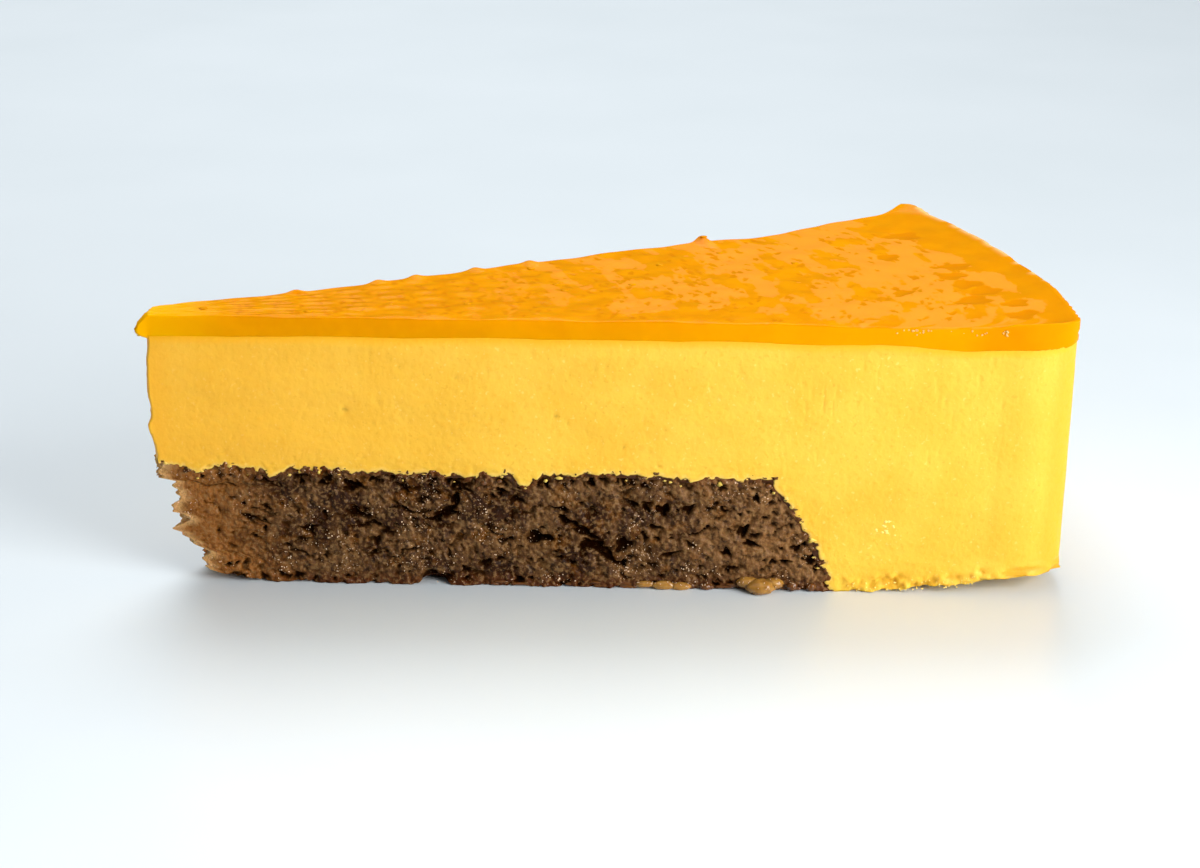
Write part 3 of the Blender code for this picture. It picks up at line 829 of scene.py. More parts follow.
def sponge_point(u, v, w):
    """The sponge from its crumbled tip to the slanting side that the mousse covers."""
    tip_z, tip_r = np.array(TIP_OUTLINE).T
    lifted = base(np.full_like(u, SPONGE_TIP_BASE))
    height = lifted + (sponge_top(np.zeros_like(u), v) - lifted) * w
    inward = 0.5 * (1.0 + v)
    tip = np.interp(height + 1.5 * inward * cloud(5.0 * v, 0.0 * v, 43, 1.0), tip_z, tip_r)
    teeth = 0.58 - TOOTH_DEPTH * np.abs(cloud(height, 9.0 * v, 44, 1.1))
    teeth = teeth - 0.5 * np.maximum(cloud(height, 14.0 * v, 45, 0.45), 0.0)
    set_back = TIP_SETBACK * smooth(0.03, 0.35, inward) * smooth(16.0, 14.5, height)
    tip = tip + ((1.1 + 0.2 * inward) * teeth + set_back) * (1.0 - u) ** 6
    side = sponge_side(w) + OVERLAP
    r = tip + (side - tip) * u
    r_above = SPONGE_TOP_RADIUS * u + 0.4
    x, y = plan(r, v, 0.45)
    bottom = base(r) + 0.10 * (1.0 + cloud(r, 30.0 * v, 47, 1.6)) * smooth(0.0, 12.0, r)
    for place, width, depth in BASE_NOTCHES:
        bottom = bottom + depth * np.exp(-((r - place) / width) ** 4) * smooth(0.80, 0.95, -v)
    top = sponge_top(r_above, v) + OVERLAP * w
    z = bottom + (top - bottom) * w
    x, y, (holes, edge) = carve(sponge_relief, r, z, x, y, v)
    facts = {
        # the depth of a pore, which the finish paints near-black as painted shade
        "hollow": holes * (np.abs(v) > 0.9),
        "edge": edge,
        "height": z,
        "from_tip": r - tip,
    }
    return x, y, z, facts


SPONGE_ACROSS = np.concatenate([[-1.0, -0.985, -0.95], np.linspace(-0.88, 0.88, 13), [0.95, 0.985, 1.0]])
SPONGE_ALONG = np.linspace(0, 1, 450)
SPONGE_UP = np.linspace(0, 1, 82)
sponge = block_mesh("sponge_crumb", sponge_point, SPONGE_ALONG, SPONGE_ACROSS, SPONGE_UP)
print(sponge.name, "has", len(sponge.data.vertices), "points")

# %% [markdown]
# The sponge's finish is baked banana crumb: moist, so it has a soft gloss, and patchy, because
# mashed fruit darkens where it lies. Near the board and along the slope it is crust, which is
# redder. Towards the outer end it is painted a lighter taupe, a painted pool of the window's light.
# The thin tip lets light through; its tan and pale colour is a painted glow of that light. Deep
# pores are painted near-black, painted shade over their real depth. The grit is half a millimetre
# apart, as fine as the eye can part in baked crumb; it is painted lighter on the raised grains and
# darker between them, a painted highlight and shade. Small cream dots in clusters are painted glints.

# %% Mix the banana crumb
banana_crumb = make_finish(
    "moist_banana_crumb", "#301807",
    noises={"patches": (4.5, 6.0), "amber": (2.8, 4.0), "specks": (1.0, 4.0), "grit": (0.55, 3.0),
            "wet": (6.0, 2.0), "glints": (0.30, 1.0)},
    facts=("from_tip", "height", "edge", "hollow"),
    rows=(
        ("#654526", ("patches", 0.38, 0.60, 0.0, 1.0)),
        ("#663C0E", ("amber", 0.55, 0.66, 0.0, 0.65)),
        # painted light: a lighter taupe towards the outer end, where the window's light is strongest
        ("#956A40", ("from_tip", 60.0, 88.0, 0.0, 0.45)),
        ("#1A0B03", ("specks", 0.55, 0.64, 0.0, 0.7)),
        ("#4C240A", ("height", 0.3, 2.6, 0.9, 0.0)),
        ("#5E300E", ("edge", 0.1, 1.2, 0.8, 0.0)),
        # painted glow: tan, then pale at the thin tip, standing in for light shining through the crumb
        ("#955C26", ("from_tip", 2.0, 17.0, 0.80, 0.0)),
        ("#D3A56A", ("from_tip", 0.1, 2.2, 0.85, 0.0)),
        # painted highlight and shade: lighter where the grit, and so the bump, is high, darker where it is
        # low
        ("#927048", ("grit", 0.50, 0.62, 0.0, 0.42)),
        ("#2A1306", ("grit", 0.38, 0.47, 0.32, 0.0)),
        # painted shade: near-black in the deep pores
        ("#120400", ("hollow", 0.12, 0.70, 0.0, 0.97)),
        # painted highlights: small cream glints, grouped in clusters by the wet noise
        ("#E2C0A0", ("glints", 0.67, 0.71, 0.0, 1.0), ("wet", 0.50, 0.62, 0.05, 1.0)),
        ("Roughness", ("grit", 0.40, 0.60, 0.5, 0.16)),
        ("Specular IOR Level", ("hollow", 0.05, 0.25, 0.13, 0.0)),
        ("Subsurface Weight", ("from_tip", 0.5, 7.0, 0.6, 0.10)),
    ),
    fine_relief=("grit", 0.9, 0.30),
    values={"IOR": 1.42, "Specular IOR Level": 0.10,
            "Subsurface Radius": (1.0, 0.45, 0.2), "Subsurface Scale": 0.8 * MM})
dress(sponge, "sponge", banana_crumb)

# %% [markdown]
# ## The mousse
# Mango mousse is an aerated cream set with gelatine. A wet knife leaves it almost flat, with
# faint lengthwise smears and small burst bubbles. The larger bubbles have their own places.

# %% Press the bubbles into the mousse
# along, up and size of each larger bubble
NEAR_PITS = (
    (16.4, 33.4, 0.35), (27.4, 26.6, 0.55), (32.6, 24.9, 0.4), (31.3, 24.8, 0.25), (7.5, 17.9, 0.4),
    (35.2, 33.2, 0.3), (8.4, 22.6, 0.25), (12.6, 28.0, 0.3), (19.4, 27.6, 0.25), (9.6, 20.1, 0.35),
    (46.8, 30.5, 0.35), (57.3, 26.2, 0.45), (59.0, 25.4, 0.35), (50.6, 20.5, 0.3), (67.0, 21.6, 0.4),
    (71.9, 18.9, 0.35), (43.2, 31.9, 0.35), (24.0, 17.9, 0.3),
)
TINY_PITS = 620


def pit_sheet(side):
    """Burst bubbles in a cut face of the mousse, as depths in millimetres."""
    rng = np.random.default_rng(600 + side)
    sheet = np.zeros(SHEET_SHAPE)
    for number in range(TINY_PITS):
        size = 0.12 + 0.14 * rng.uniform() ** 2
        press(sheet, rng.uniform(2.0, 128.0), rng.uniform(17.0, 37.0), size * rng.uniform(1.0, 1.8), size,
              rng.uniform(0.05, 0.16), rng.normal(0.0, 0.3), number)
    if side == NEAR:
        for number, (s, z, size) in enumerate(NEAR_PITS):
            press(sheet, s, z, 0.9 * size, 0.55 * size, 0.7 * size, -0.2, number)
    return sheet


PITS = {side: pit_sheet(side) for side in (NEAR, FAR)}
print("tiny pits on each face:", TINY_PITS)

# %% [markdown]
# The line between mousse and jelly is nearly level, because both were poured, and it strays
# from level along the cuts alone. Round the sponge the mousse met the board, and it tore
# there when the slice was lifted, so its foot is lumpy.

# %% Write the mousse's relief
CORNER_SEAM_RISE = 1.0
SMEAR_HEIGHT = 0.05
FINE_SMEAR_HEIGHT = 0.035
CREAM_SWELL = 0.10
TORN_HEIGHT = 0.44
TORN_SETBACK = 0.12
CREAM_DRAWN_BACK = 0.45
JELLY_STEP = 0.10


def seam_rise(r, v):
    """How far the line between mousse and jelly strays from level, along the two cuts only."""
    near = 0.07 * waves(r, 0.0 * r, 30, 19.0) + 0.05 * cloud(r, 0.0 * r, 32, 2.4) - 0.05
    far = 0.16 * waves(r, 0.0 * r, 34, 15.0) - 0.05
    corner = CORNER_SEAM_RISE * smooth(-1.0, -0.92, v) * (1.0 - smooth(-0.8, -0.2, v))
    corner = corner * smooth(122.0, CAKE_RADIUS, r)
    return near * smooth(0.93, 1.0, -v) + far * smooth(0.93, 1.0, v) + corner


def mousse_relief(s, z, side, over_seam):
    """Height of a cut face of the mousse over its plane, and how deep its pits are."""
    pits = read_sheet(PITS[side], s, z)
    smears = SMEAR_HEIGHT * cloud(0.3 * s, z, 200 + side, 1.3)
    smears = smears + FINE_SMEAR_HEIGHT * cloud(0.5 * s, z, 210 + side, 0.7)
    swell = CREAM_SWELL * waves(0.25 * s, z, 220 + side, 9.0)
    over_base = z - base(s) + 0.5 * cloud(s, 0.0 * s, 231, 2.0)
    at_foot = smooth(97.5, 100.5, s) * (1.0 - smooth(1.2, 3.0, over_base))
    torn = at_foot * (TORN_HEIGHT * rough(s, 1.3 * z, 230 + side, 1.2, 3) - TORN_SETBACK)
    edge = inside_sponge(s, z, side)
    drawn_back = CREAM_DRAWN_BACK * np.clip(edge + 0.05, 0.0, DRAWN_OVER) / DRAWN_OVER
    near_line = 0.08 * bump(edge, -0.9, 0.6) * rough(s, z, 240 + side, 0.8, 2)
    behind_jelly = JELLY_STEP * smooth(-0.12, 0.12, over_seam)
    calm = smooth(0.0, 8.0, s) * smooth(0.3, 1.6, -over_seam)
    out = calm * (swell + smears - pits) + torn + near_line - drawn_back - behind_jelly
    return out, pits, at_foot * smooth(0.02, 0.20, -torn), edge


rise_there = seam_rise(np.array(60.0), np.array(-1.0))
print("the line to the jelly strays by", round(float(rise_there), 2), "mm in the middle")

# %% [markdown]
# From below, the mousse is level over the sponge, then follows the sponge's slope, and then
# lies along the base. One line through these three parts is easier to control than a cut-out.

# %% Shape the mousse's underside
LEVEL_SHARE = 0.62
SLOPE_SHARE = 0.16


def mousse_underside(u, v):
    """The mousse from below, as radius and height along u: level, slope, then base."""
    slope_end = LEVEL_SHARE + SLOPE_SHARE
    over_sponge = u < LEVEL_SHARE
    on_slope = (u >= LEVEL_SHARE) & (u < slope_end)
    along = (SPONGE_TOP_RADIUS - OVERLAP) * u / LEVEL_SHARE
    down = np.clip((slope_end - u) / SLOPE_SHARE, 0.0, 1.0)
    foot = SPONGE_BASE_RADIUS - OVERLAP
    past = foot + (CAKE_RADIUS - foot) * (u - slope_end) / (1.0 - slope_end)
    r = np.where(over_sponge, along, np.where(on_slope, sponge_side(down) - OVERLAP, past))
    dips = np.zeros_like(u)
    for side, places in ((NEAR, NEAR_DIPS), (FAR, FAR_DIPS)):
        for place, width, depth in places:
            dips += depth * np.exp(-((r - place) / (1.3 * width)) ** 4) * smooth(0.8, 1.0, side * v)
    level = sponge_top(r, v) - OVERLAP - dips
    shoulder = (sponge_top(SPONGE_TOP_RADIUS - OVERLAP, v) - OVERLAP) * down
    ragged = 0.13 * (1.0 + rough(r + 60.0 * v, 20.0 * v, 250, 1.1, 2))
    ragged_base = base(r) + ragged * smooth(98.0, 101.0, r)
    bottom = np.where(over_sponge, level, np.where(on_slope, shoulder, ragged_base))
    return r, bottom


print("shares of the underside:", LEVEL_SHARE, SLOPE_SHARE, round(1.0 - LEVEL_SHARE - SLOPE_SHARE, 2))

# %% Shape the mousse
SEAM_OVERLAP = 0.4
MOUSSE_NOSE = 0.7
MOUSSE_SETBACK = 0.06
FOOT_FLARE = 0.45
# height, and distance of the mousse's end from the tip
MOUSSE_TIP = (
    (18.4, 0.4), (20.3, 0.3), (21.2, 0.1), (22.1, -0.1), (23.0, -0.4), (23.9, -0.6), (24.9, -0.1),
    (26.6, 0.0), (28.4, -0.3), (31.0, -0.3), (33.8, -0.15), (35.6, 0.1), (37.8, 0.1),
)
FINE_CORNER_STEPS = (
    0.0, 0.01, 0.03, 0.06, 0.1, 0.17, 0.27, 0.4, 0.55, 0.75, 1.0, 1.3, 1.7, 2.2, 2.8, 3.3, 3.7,
)


def mousse_point(u, v, w):
    """The mousse over the sponge and down round its outer side to the base."""
    r, bottom = mousse_underside(u, v)
    seam = mousse_top(r, v) + seam_rise(r, v)
    z = bottom + (seam + SEAM_OVERLAP - bottom) * w
    tip_z, tip_r = np.array(MOUSSE_TIP).T
    r = r + (np.interp(z, tip_z, tip_r) + 0.12 * cloud(z, 4.0 * v, 34, 0.7)) * np.exp(-r / 2.5)
    shaped = rounded_end(r, v, np.clip(z / (CAKE_HEIGHT - JELLY_THICKNESS), 0.0, 1.0))
    low = np.exp(-np.maximum(z - base(r), 0.0) / 0.9)
    crumbled = rough(HALF_ANGLE * CAKE_RADIUS * v + shaped, 1.4 * z, 251, 1.1, 3)
    flared = FOOT_FLARE * low * (0.5 + 1.4 * crumbled) * (0.5 + 0.5 * smooth(0.3, 0.9, -v))
    shaped = shaped + (flared - MOUSSE_SETBACK) * end_share(r) ** 3
    x, y = plan(shaped, v, MOUSSE_NOSE)
    x, y, (pits, torn_foot, edge) = carve(mousse_relief, shaped, z, x, y, v, z - seam)
    torn_outside = 0.7 * (u > 0.93) * low * smooth(0.1, 0.7, -crumbled)
    facts = {
        # the depth of a pit, which the finish paints darker as painted shade
        "hollow": pits * (np.abs(v) > 0.95),
        "edge": edge,
        # where the torn foot dips in, which the finish paints darker as painted shade
        "foot_pit_shade": np.maximum(torn_foot, torn_outside),
        # outer: the outer side and near outer corner, which the finish paints darker as painted shade
        "outer": np.maximum((u > 0.9999) * smooth(-0.995, -0.95, v), 0.4 * smooth(126.0, CAKE_RADIUS, r)),
        "under_jelly": seam - z,
        "from_tip": r,
    }
    return x, y, z, facts


mousse_along = np.concatenate([
    [0.0, 0.0015, 0.004], np.linspace(0.008, LEVEL_SHARE, 262, endpoint=False),
    np.linspace(LEVEL_SHARE, LEVEL_SHARE + SLOPE_SHARE, 56, endpoint=False),
    np.linspace(LEVEL_SHARE + SLOPE_SHARE, 1.0, 112),
])
mousse_up = np.concatenate([
    np.linspace(0.0, 0.13, 16, endpoint=False), np.linspace(0.13, 0.95, 34, endpoint=False),
    np.linspace(0.95, 1.0, 14),
])
mousse_across = across_rows(8, FINE_CORNER_STEPS)
mousse = block_mesh("mango_mousse", mousse_point, mousse_along, mousse_across, mousse_up)
print(mousse.name, "has", len(mousse.data.vertices), "points")

# %% [markdown]
# The mousse's finish is set fruit cream. It is matte and lets light in a little way, so its
# edges glow a warmer yellow. Pale and dark specks half a millimetre apart are painted: a painted
# highlight on the rims of small bubbles, and painted shade in their pits; the larger pits are
# painted darker too. Towards the tip it is painted more orange and darker, and on its outer side
# darker, as painted shade for how the window's light falls, and the pits of its torn foot are
# painted shade. Under the jelly it has taken up some of the jelly's orange.

# %% Mix the mousse
fruit_cream = make_finish(
    "set_mango_cream", "#EEBA36",
    noises={"clouds": (9.0, 3.0), "grain": (0.8, 4.0), "bubbles": (0.6, 1.0)},
    facts=("from_tip", "outer", "foot_pit_shade", "under_jelly", "edge", "hollow"),
    rows=(
        ("#F3C240", ("clouds", 0.35, 0.65, 0.0, 1.0)),
        ("#EBA61C", ("grain", 0.55, 0.75, 0.0, 0.35)),
        # painted highlight: pale specks on the rims of small bubbles
        ("#FFE07C", ("bubbles", 0.665, 0.76, 0.0, 0.38)),
        # painted shade: dark specks in small pits
        ("#CF931C", ("bubbles", 0.24, 0.33, 0.34, 0.0)),
        # painted shade: more orange and darker towards the tip, where less of the window's light falls
        ("#F6AE14", ("from_tip", -0.5, 4.5, 0.5, 0.0)),
        ("#F4AE22", ("from_tip", 5.0, 62.0, 0.5, 0.0)),
        # painted shade: darker on the outer side, against the window's strong light there
        ("#DCA018", ("outer", 0.0, 1.0, 0.0, 0.78)),
        # painted shade: darker in the pits between the lumps of the torn foot
        ("#D29A10", ("foot_pit_shade", 0.1, 0.9, 0.0, 0.65)),
        ("#FFB000", ("under_jelly", -0.1, 1.5, 0.95, 0.0)),
        ("#FFD676", ("edge", -0.6, 0.0, 0.0, 0.45)),
        # painted shade: darker in the pits
        ("#B0800F", ("hollow", 0.03, 0.4, 0.0, 0.6)),
        ("#4A260C", ("edge", 0.05, 0.30, 0.0, 1.0)),
        ("Roughness", ("grain", 0.3, 0.7, 0.42, 0.58)),
    ),
    fine_relief=("grain", 0.7, 0.16),
    values={"IOR": 1.38, "Subsurface Weight": 0.35,
            "Subsurface Radius": (1.0, 0.6, 0.25), "Subsurface Scale": 2.0 * MM})
dress(mousse, "mousse", fruit_cream)

# %% [markdown]
# ## The jelly
# The jelly was poured warm and set level. Along the tin's ring it crept up a little, and the
# knife pulled up its far outer corner, a nub and a few beads of the far edge.

# %% Write the height of the jelly
RIM_LIP = 0.5
PEAK_HEIGHT = 0.95
PEAK_START = 114.0
PEAK_CURVE = 3.0
NUB_PLACE = 88.8
NUB_HEIGHT = 1.0
NUB_WIDTH = 1.0
FAR_EDGE_BEADS = (22.5, 35.0, 41.0, 50.5, 59.5)
BEAD_HEIGHT = 0.4
BEAD_WIDTH = 1.1
EDGE_ROUNDING = 0.10
EDGE_ROUNDING_WIDTH = 0.25
RIM_LIP_WIDTH = 2.5
RIM_ROUNDING = 0.22
RIM_ROUNDING_WIDTH = 0.3
SAG_DEPTH = 0.3
SAG_PLACE = 105.0
SAG_WIDTH = 15.0


def jelly_top(r, v):
    """Height of the jelly: soft cut edges, a raised rim, and what the knife pulled up."""
    from_cut = (1.0 - np.abs(v)) * HALF_ANGLE * np.maximum(r, 3.0)
    from_rim = CAKE_RADIUS - r
    height = CAKE_HEIGHT + 0.1 * waves(r, 30.0 * v, 13, 9.0)
    far_edge = smooth(0.80, 0.98, v)
    not_peak = 1.0 - smooth(0.80, 0.95, v) * smooth(116.0, 125.0, r)
    height = height - EDGE_ROUNDING * not_peak * np.exp(-from_cut / EDGE_ROUNDING_WIDTH)
    height = height + RIM_LIP * np.exp(-from_rim / RIM_LIP_WIDTH)
    height = height - RIM_ROUNDING * not_peak * np.exp(-from_rim / RIM_ROUNDING_WIDTH)
    height = height - SAG_DEPTH * bump(r, SAG_PLACE, SAG_WIDTH) * smooth(0.6, 1.0, -v)
    pulled = np.clip((r - PEAK_START) / (CAKE_RADIUS - 1.0 - PEAK_START), 0.0, 1.0) ** PEAK_CURVE
    height = height + PEAK_HEIGHT * pulled * np.clip((v - 0.55) / 0.45, 0.0, 1.0) ** 3
    height = height + NUB_HEIGHT * bump(r, NUB_PLACE, NUB_WIDTH) * far_edge
    for place in FAR_EDGE_BEADS:
        height = height + BEAD_HEIGHT * bump(r, place, BEAD_WIDTH) * far_edge
    return height


print("jelly is", round(float(jelly_top(np.array(60.0), np.array(0.0))), 2), "mm high in its middle")

# %% [markdown]
# Its top is dimpled: ten large dimples near the rim have their own places, and seeded draws
# fill in the small ones. They are pressed into a sheet that lies over the top, in the same way
# as the pores of the sponge.

# %% Press the dimples
# distance from the tip, bearing in degrees and size of each large dimple
DIMPLES = (
    (119.7, 8.7, 2.4), (119.9, -0.1, 2.0), (117.5, -2.3, 1.9), (118.4, -4.4, 2.1), (120.0, -6.0, 2.1),
    (117.1, -8.3, 2.3), (122.7, -9.2, 1.7), (122.4, -11.7, 2.1), (112.0, 3.5, 1.6), (108.0, -6.0, 1.5),
)
SMALL_DIMPLES = 640
TOP_SHEET_SHAPE = (1360, 700)
ARC_ROOM = 35.0


def dimple_sheet():
    """Dimples and burst bubbles of the jelly's top, over r and the arc across, as depths."""
    rng = np.random.default_rng(700)
    sheet = np.zeros(TOP_SHEET_SHAPE)
    for number in range(SMALL_DIMPLES):
        r = 12.0 + 108.0 * rng.uniform() ** 0.75
        across = rng.uniform(-0.93, 0.93) * HALF_ANGLE * r
        size = rng.uniform(0.35, 0.75)
        press(sheet, r, across + ARC_ROOM, 0.8 * size, size * rng.uniform(1.2, 2.2), rng.uniform(0.05, 0.14),
              rng.normal(0.0, 0.4), number, 0.3, 2.5)
    for number, (r, bearing, size) in enumerate(DIMPLES):
        press(sheet, r, ARC_ROOM + math.radians(bearing) * r, size, 0.75 * size, 0.32, 0.4, number, 0.25, 2.5)
    return sheet


def read_top(sheet, r, across):
    """The sheet's value at the grid point below and left of a point of the top."""
    a = np.clip((r - SHEET_START_S) / SHEET_STEP, 0.0, sheet.shape[0] - 1.001)
    b = np.clip((across + ARC_ROOM - SHEET_START_Z) / SHEET_STEP, 0.0, sheet.shape[1] - 1.001)
    i, j = a.astype(int), b.astype(int)
    return sheet[i, j]


DIMPLED = dimple_sheet()
print("dimples:", SMALL_DIMPLES + len(DIMPLES))

# %% [markdown]
# A wet top mirrors the room, broken by ripples finer than a mesh can carry. Where the ripples
# turn towards the light, the jelly looks paler and pinker. Those patches are a fact of the
# mesh, so they stay where they are when the slice is turned.

# %% Shape the jelly
JELLY_NOSE = 1.7
JELLY_OVERHANG = 0.2
SERRATION = 0.35
FACE_WAVE = 0.08
RIPPLE_HEIGHT = 0.018
FINE_RIPPLE_HEIGHT = 0.008
DIMPLE_SHARE = 0.45
# height, and distance of the jelly's end from the tip
JELLY_TIP = (
    (36.9, 0.0), (37.3, -0.9), (38.1, -1.65), (38.8, -1.35), (39.6, -0.7), (40.2, 0.0), (40.6, 0.7),
)


def sheen_patches(r, across, from_rim, v):
    """Where fine ripples turn the wet top towards the light: patches, denser near the rim."""
    field = rough(1.1 * r, 0.5 * across, 320, 2.8, 4)
    towards_rim = 0.35 * smooth(20.0, 70.0, r) + 0.45 * smooth(82.0, 112.0, r) - 0.28
    bare_band = 2.6 + 6.4 * smooth(-0.7, 0.9, v)
    bare_rim = 2.0 * (1.0 - smooth(bare_band, bare_band + 3.0, from_rim))
    near_cut = (1.0 + v) * HALF_ANGLE * np.maximum(r, 3.0)
    middle = smooth(45.0, 60.0, r) * (1.0 - smooth(95.0, 108.0, r))
    bare_edge = 1.2 * (1.0 - smooth(1.0, 7.0, near_cut)) * middle
    patches = smooth(-0.12, 0.22, field + towards_rim - bare_rim - bare_edge)
    return patches * smooth(12.0, 24.0, r) * (0.25 + 0.75 * smooth(35.0, 80.0, r))


def jelly_point(u, v, w):
    """The jelly, level underneath, drawn out to a ragged scrap past the tip."""
    r = CAKE_RADIUS * u
    seam = mousse_top(r, v) + seam_rise(r, v)
    bottom = seam - SEAM_OVERLAP
    across = v * HALF_ANGLE * r
    from_cut = (1.0 - np.abs(v)) * HALF_ANGLE * np.maximum(r, 3.0)
    calm = smooth(0.6, 2.2, from_cut) * smooth(30.0, 95.0, r) * (1.0 - smooth(119.0, 124.0, r))
    ripples = RIPPLE_HEIGHT * rough(r, 0.45 * across, 300, 2.6, 2)
    ripples = ripples + FINE_RIPPLE_HEIGHT * cloud(r, across, 310, 0.9)
    dimples = read_top(DIMPLED, r, across)
    top = jelly_top(r, v) + calm * ripples - DIMPLE_SHARE * smooth(0.3, 1.2, from_cut) * dimples
    z = bottom + (top - bottom) * w
    tip_z, tip_r = np.array(JELLY_TIP).T
    tip = np.interp(z, tip_z, tip_r) + 0.25 * (0.3 + 0.5 * (1.0 + v)) * cloud(z, 3.0 * v, 46, 0.6)
    r = r + tip * np.exp(-r / 4.0)
    shaped = rounded_end(r, v, np.ones_like(z))
    shaped = shaped + JELLY_OVERHANG * end_share(r) ** 3
    serration = SERRATION * np.maximum(cloud(across, 0.9 * z, 49, 0.7), 0.0)
    shaped = shaped - serration * smooth(127.5, CAKE_RADIUS, r)
    x, y = plan(shaped, v, JELLY_NOSE)
    face_share = FACE_WAVE * smooth(0.0, 12.0, shaped) * smooth(0.3, 1.2, z - seam)
    face = face_share * waves(0.5 * shaped, z, 21, 8.0)
    back = JELLY_STEP * (1.0 - smooth(-0.12, 0.12, z - seam))
    x, y = swing(x, y, v, face - back, face - back)
    is_top = smooth(0.9, 1.0, w)
    from_rim = CAKE_RADIUS - r
    lit_rim = smooth(-0.3, 0.4, v + cloud(across, 0.0 * r, 48, 1.4)) * (1.0 - smooth(0.90, 0.97, v))
    between_dimples = 1.0 - smooth(0.03, 0.09, dimples)
    facts = {
        # where the finish paints its sheen patches, a painted reflection
        "sheen": sheen_patches(r, across, from_rim, v) * is_top * between_dimples,
        # the depth of a dimple, which the finish paints darker as painted shade
        "dimple": dimples * is_top,
        # side: the cut sides, which the finish paints yellower towards the lit outer end as painted light
        "side": (1.0 - is_top) * (0.52 + 0.48 * smooth(60.0, 112.0, r)) * (1.0 - smooth(116.0, 128.0, r)),
        # a thin band along the rim, which the finish paints pale as a painted highlight
        "rim": is_top * np.exp(-from_rim / 0.8) * lit_rim,
        "from_tip": r,
    }
    return x, y, z, facts


jelly_along = np.concatenate([
    np.linspace(0.0, 0.03, 20, endpoint=False), np.linspace(0.03, 0.97, 400, endpoint=False),
    np.linspace(0.97, 1.0, 26),
])
jelly_up = [0.0, 0.04, 0.08, 0.12, 0.16, 0.2, 0.26, 0.4, 0.6, 0.8, 0.9, 0.96, 1.0]
jelly = block_mesh("mango_jelly", jelly_point, jelly_along, across_rows(140), jelly_up, plain_bottom=True)
print(jelly.name, "has", len(jelly.data.vertices), "points")

# %% [markdown]
# The jelly's finish is a gelatine gel full of fruit pulp: deep orange, smooth and wet. It is a
# little see-through at thin edges, where the orange turns yellow. Part of its light is painted:
# the cut sides are painted yellower towards the lit outer end, the outer end of the top and the
# dimples are painted darker as painted shade, the sheen patches are a painted reflection, paler
# and pinker, and a thin band along the rim is a painted highlight.

# %% Mix the jelly
fruit_gel = make_finish(
    "mango_gel", "#D88700",
    noises={"pulp": (4.0, 3.0)},
    facts=("from_tip", "side", "sheen", "dimple", "rim"),
    rows=(
        ("#E19000", ("pulp", 0.35, 0.65, 0.0, 1.0)),
        # painted shade: darker towards the outer end
        ("#D28400", ("from_tip", 110.0, 130.0, 0.0, 0.6)),
        ("#F3B000", ("from_tip", -1.0, 15.0, 0.95, 0.0)),
        # painted light: the cut sides yellower, more so towards the lit outer end
        ("#E99C00", ("side", 0.0, 1.0, 0.0, 0.7)),
        # painted reflection: paler, pinker sheen patches
        ("#F2942A", ("sheen", 0.0, 1.0, 0.0, 0.85)),
        # painted shade: darker in the dimples
        ("#D07C00", ("dimple", 0.03, 0.12, 0.0, 0.85)),
        # painted highlight: a pale band along the rim
        ("#FFC582", ("rim", 0.1, 0.7, 0.0, 0.7)),
    ),
    values={"Roughness": 0.2, "IOR": 1.38, "Specular IOR Level": 0.02, "Subsurface Weight": 0.3,
            "Subsurface Radius": (1.0, 0.4, 0.05), "Subsurface Scale": 1.6 * MM})
dress(jelly, "jelly", fruit_gel)

# %% [markdown]
# ## What the knife left
# A real cut drags things along: dark crumbs on the mousse, flecks of cream on the sponge,
# drops of syrup at the foot, and beads of moisture that sparkle. Each kind is one mesh of many
# small lumps. A lump is a ball whose points are pushed in and out, so no two are alike.

# %% Write the lump maker
ALONG = {side: np.array([math.cos(HALF_ANGLE), side * math.sin(HALF_ANGLE), 0.0]) for side in (NEAR, FAR)}
OUT = {side: np.array([-math.sin(HALF_ANGLE), side * math.cos(HALF_ANGLE), 0.0]) for side in (NEAR, FAR)}
UP = np.array([0.0, 0.0, 1.0])


def on_face(s, z, out, side):
    """A point over a cut face: s along it, z up, out from it."""
    plane_out = float(far_offset(s)) if side == FAR else 0.0
    return s * ALONG[side] + z * UP + (out + plane_out) * OUT[side]


def ball(rounds):
    """The points and faces of a ball of triangles."""
    made = bmesh.new()
    bmesh.ops.create_icosphere(made, subdivisions=rounds, radius=1.0)
    made.verts.ensure_lookup_table()
    points = np.array([tuple(vert.co) for vert in made.verts])
    faces = np.array([[vert.index for vert in face.verts] for face in made.faces])
    made.free()
    return points, faces


def lumps(name, spots, material, slot, seed, facts=None, rounds=2, uneven=0.22):
    """One mesh of many lumps; a spot is a place and the half sizes along, across and up."""
    rng = np.random.default_rng(seed)
    points, faces = ball(rounds)
    turn = np.array([ALONG[NEAR], -OUT[NEAR], UP])
    all_points, all_faces = [], []
    for number, (place, sizes) in enumerate(spots):
        pushed = points * (1.0 + uneven * rng.uniform(-1.0, 1.0, (len(points), 1)))
        all_points.append(place + (pushed * np.array(sizes)) @ turn)
        all_faces.append(faces + number * len(points))
    made = make_piece(name, np.concatenate(all_points), np.concatenate(all_faces).tolist(), facts or {})
    dress(made, None, material)


print("triangles in a lump:", [len(ball(rounds)[1]) for rounds in (1, 2, 3)])

# %% [markdown]
# Crumbs sit on the mousse just over the ragged line, most of them close to it. Flecks of cream
# sit on the sponge just under it. Both use the finish of the layer that they came from.

# %% Scatter crumbs and flecks
CRUMBS = 90
CRUMB_REACH = (-0.2, 0.75)
CRUMB_SIZES = (0.10, 0.36)
FLECKS = 45
FLECK_REACH = (0.1, -1.5)
FLECK_SIZES = (0.12, 0.36)
TIP_FLECKS = 12


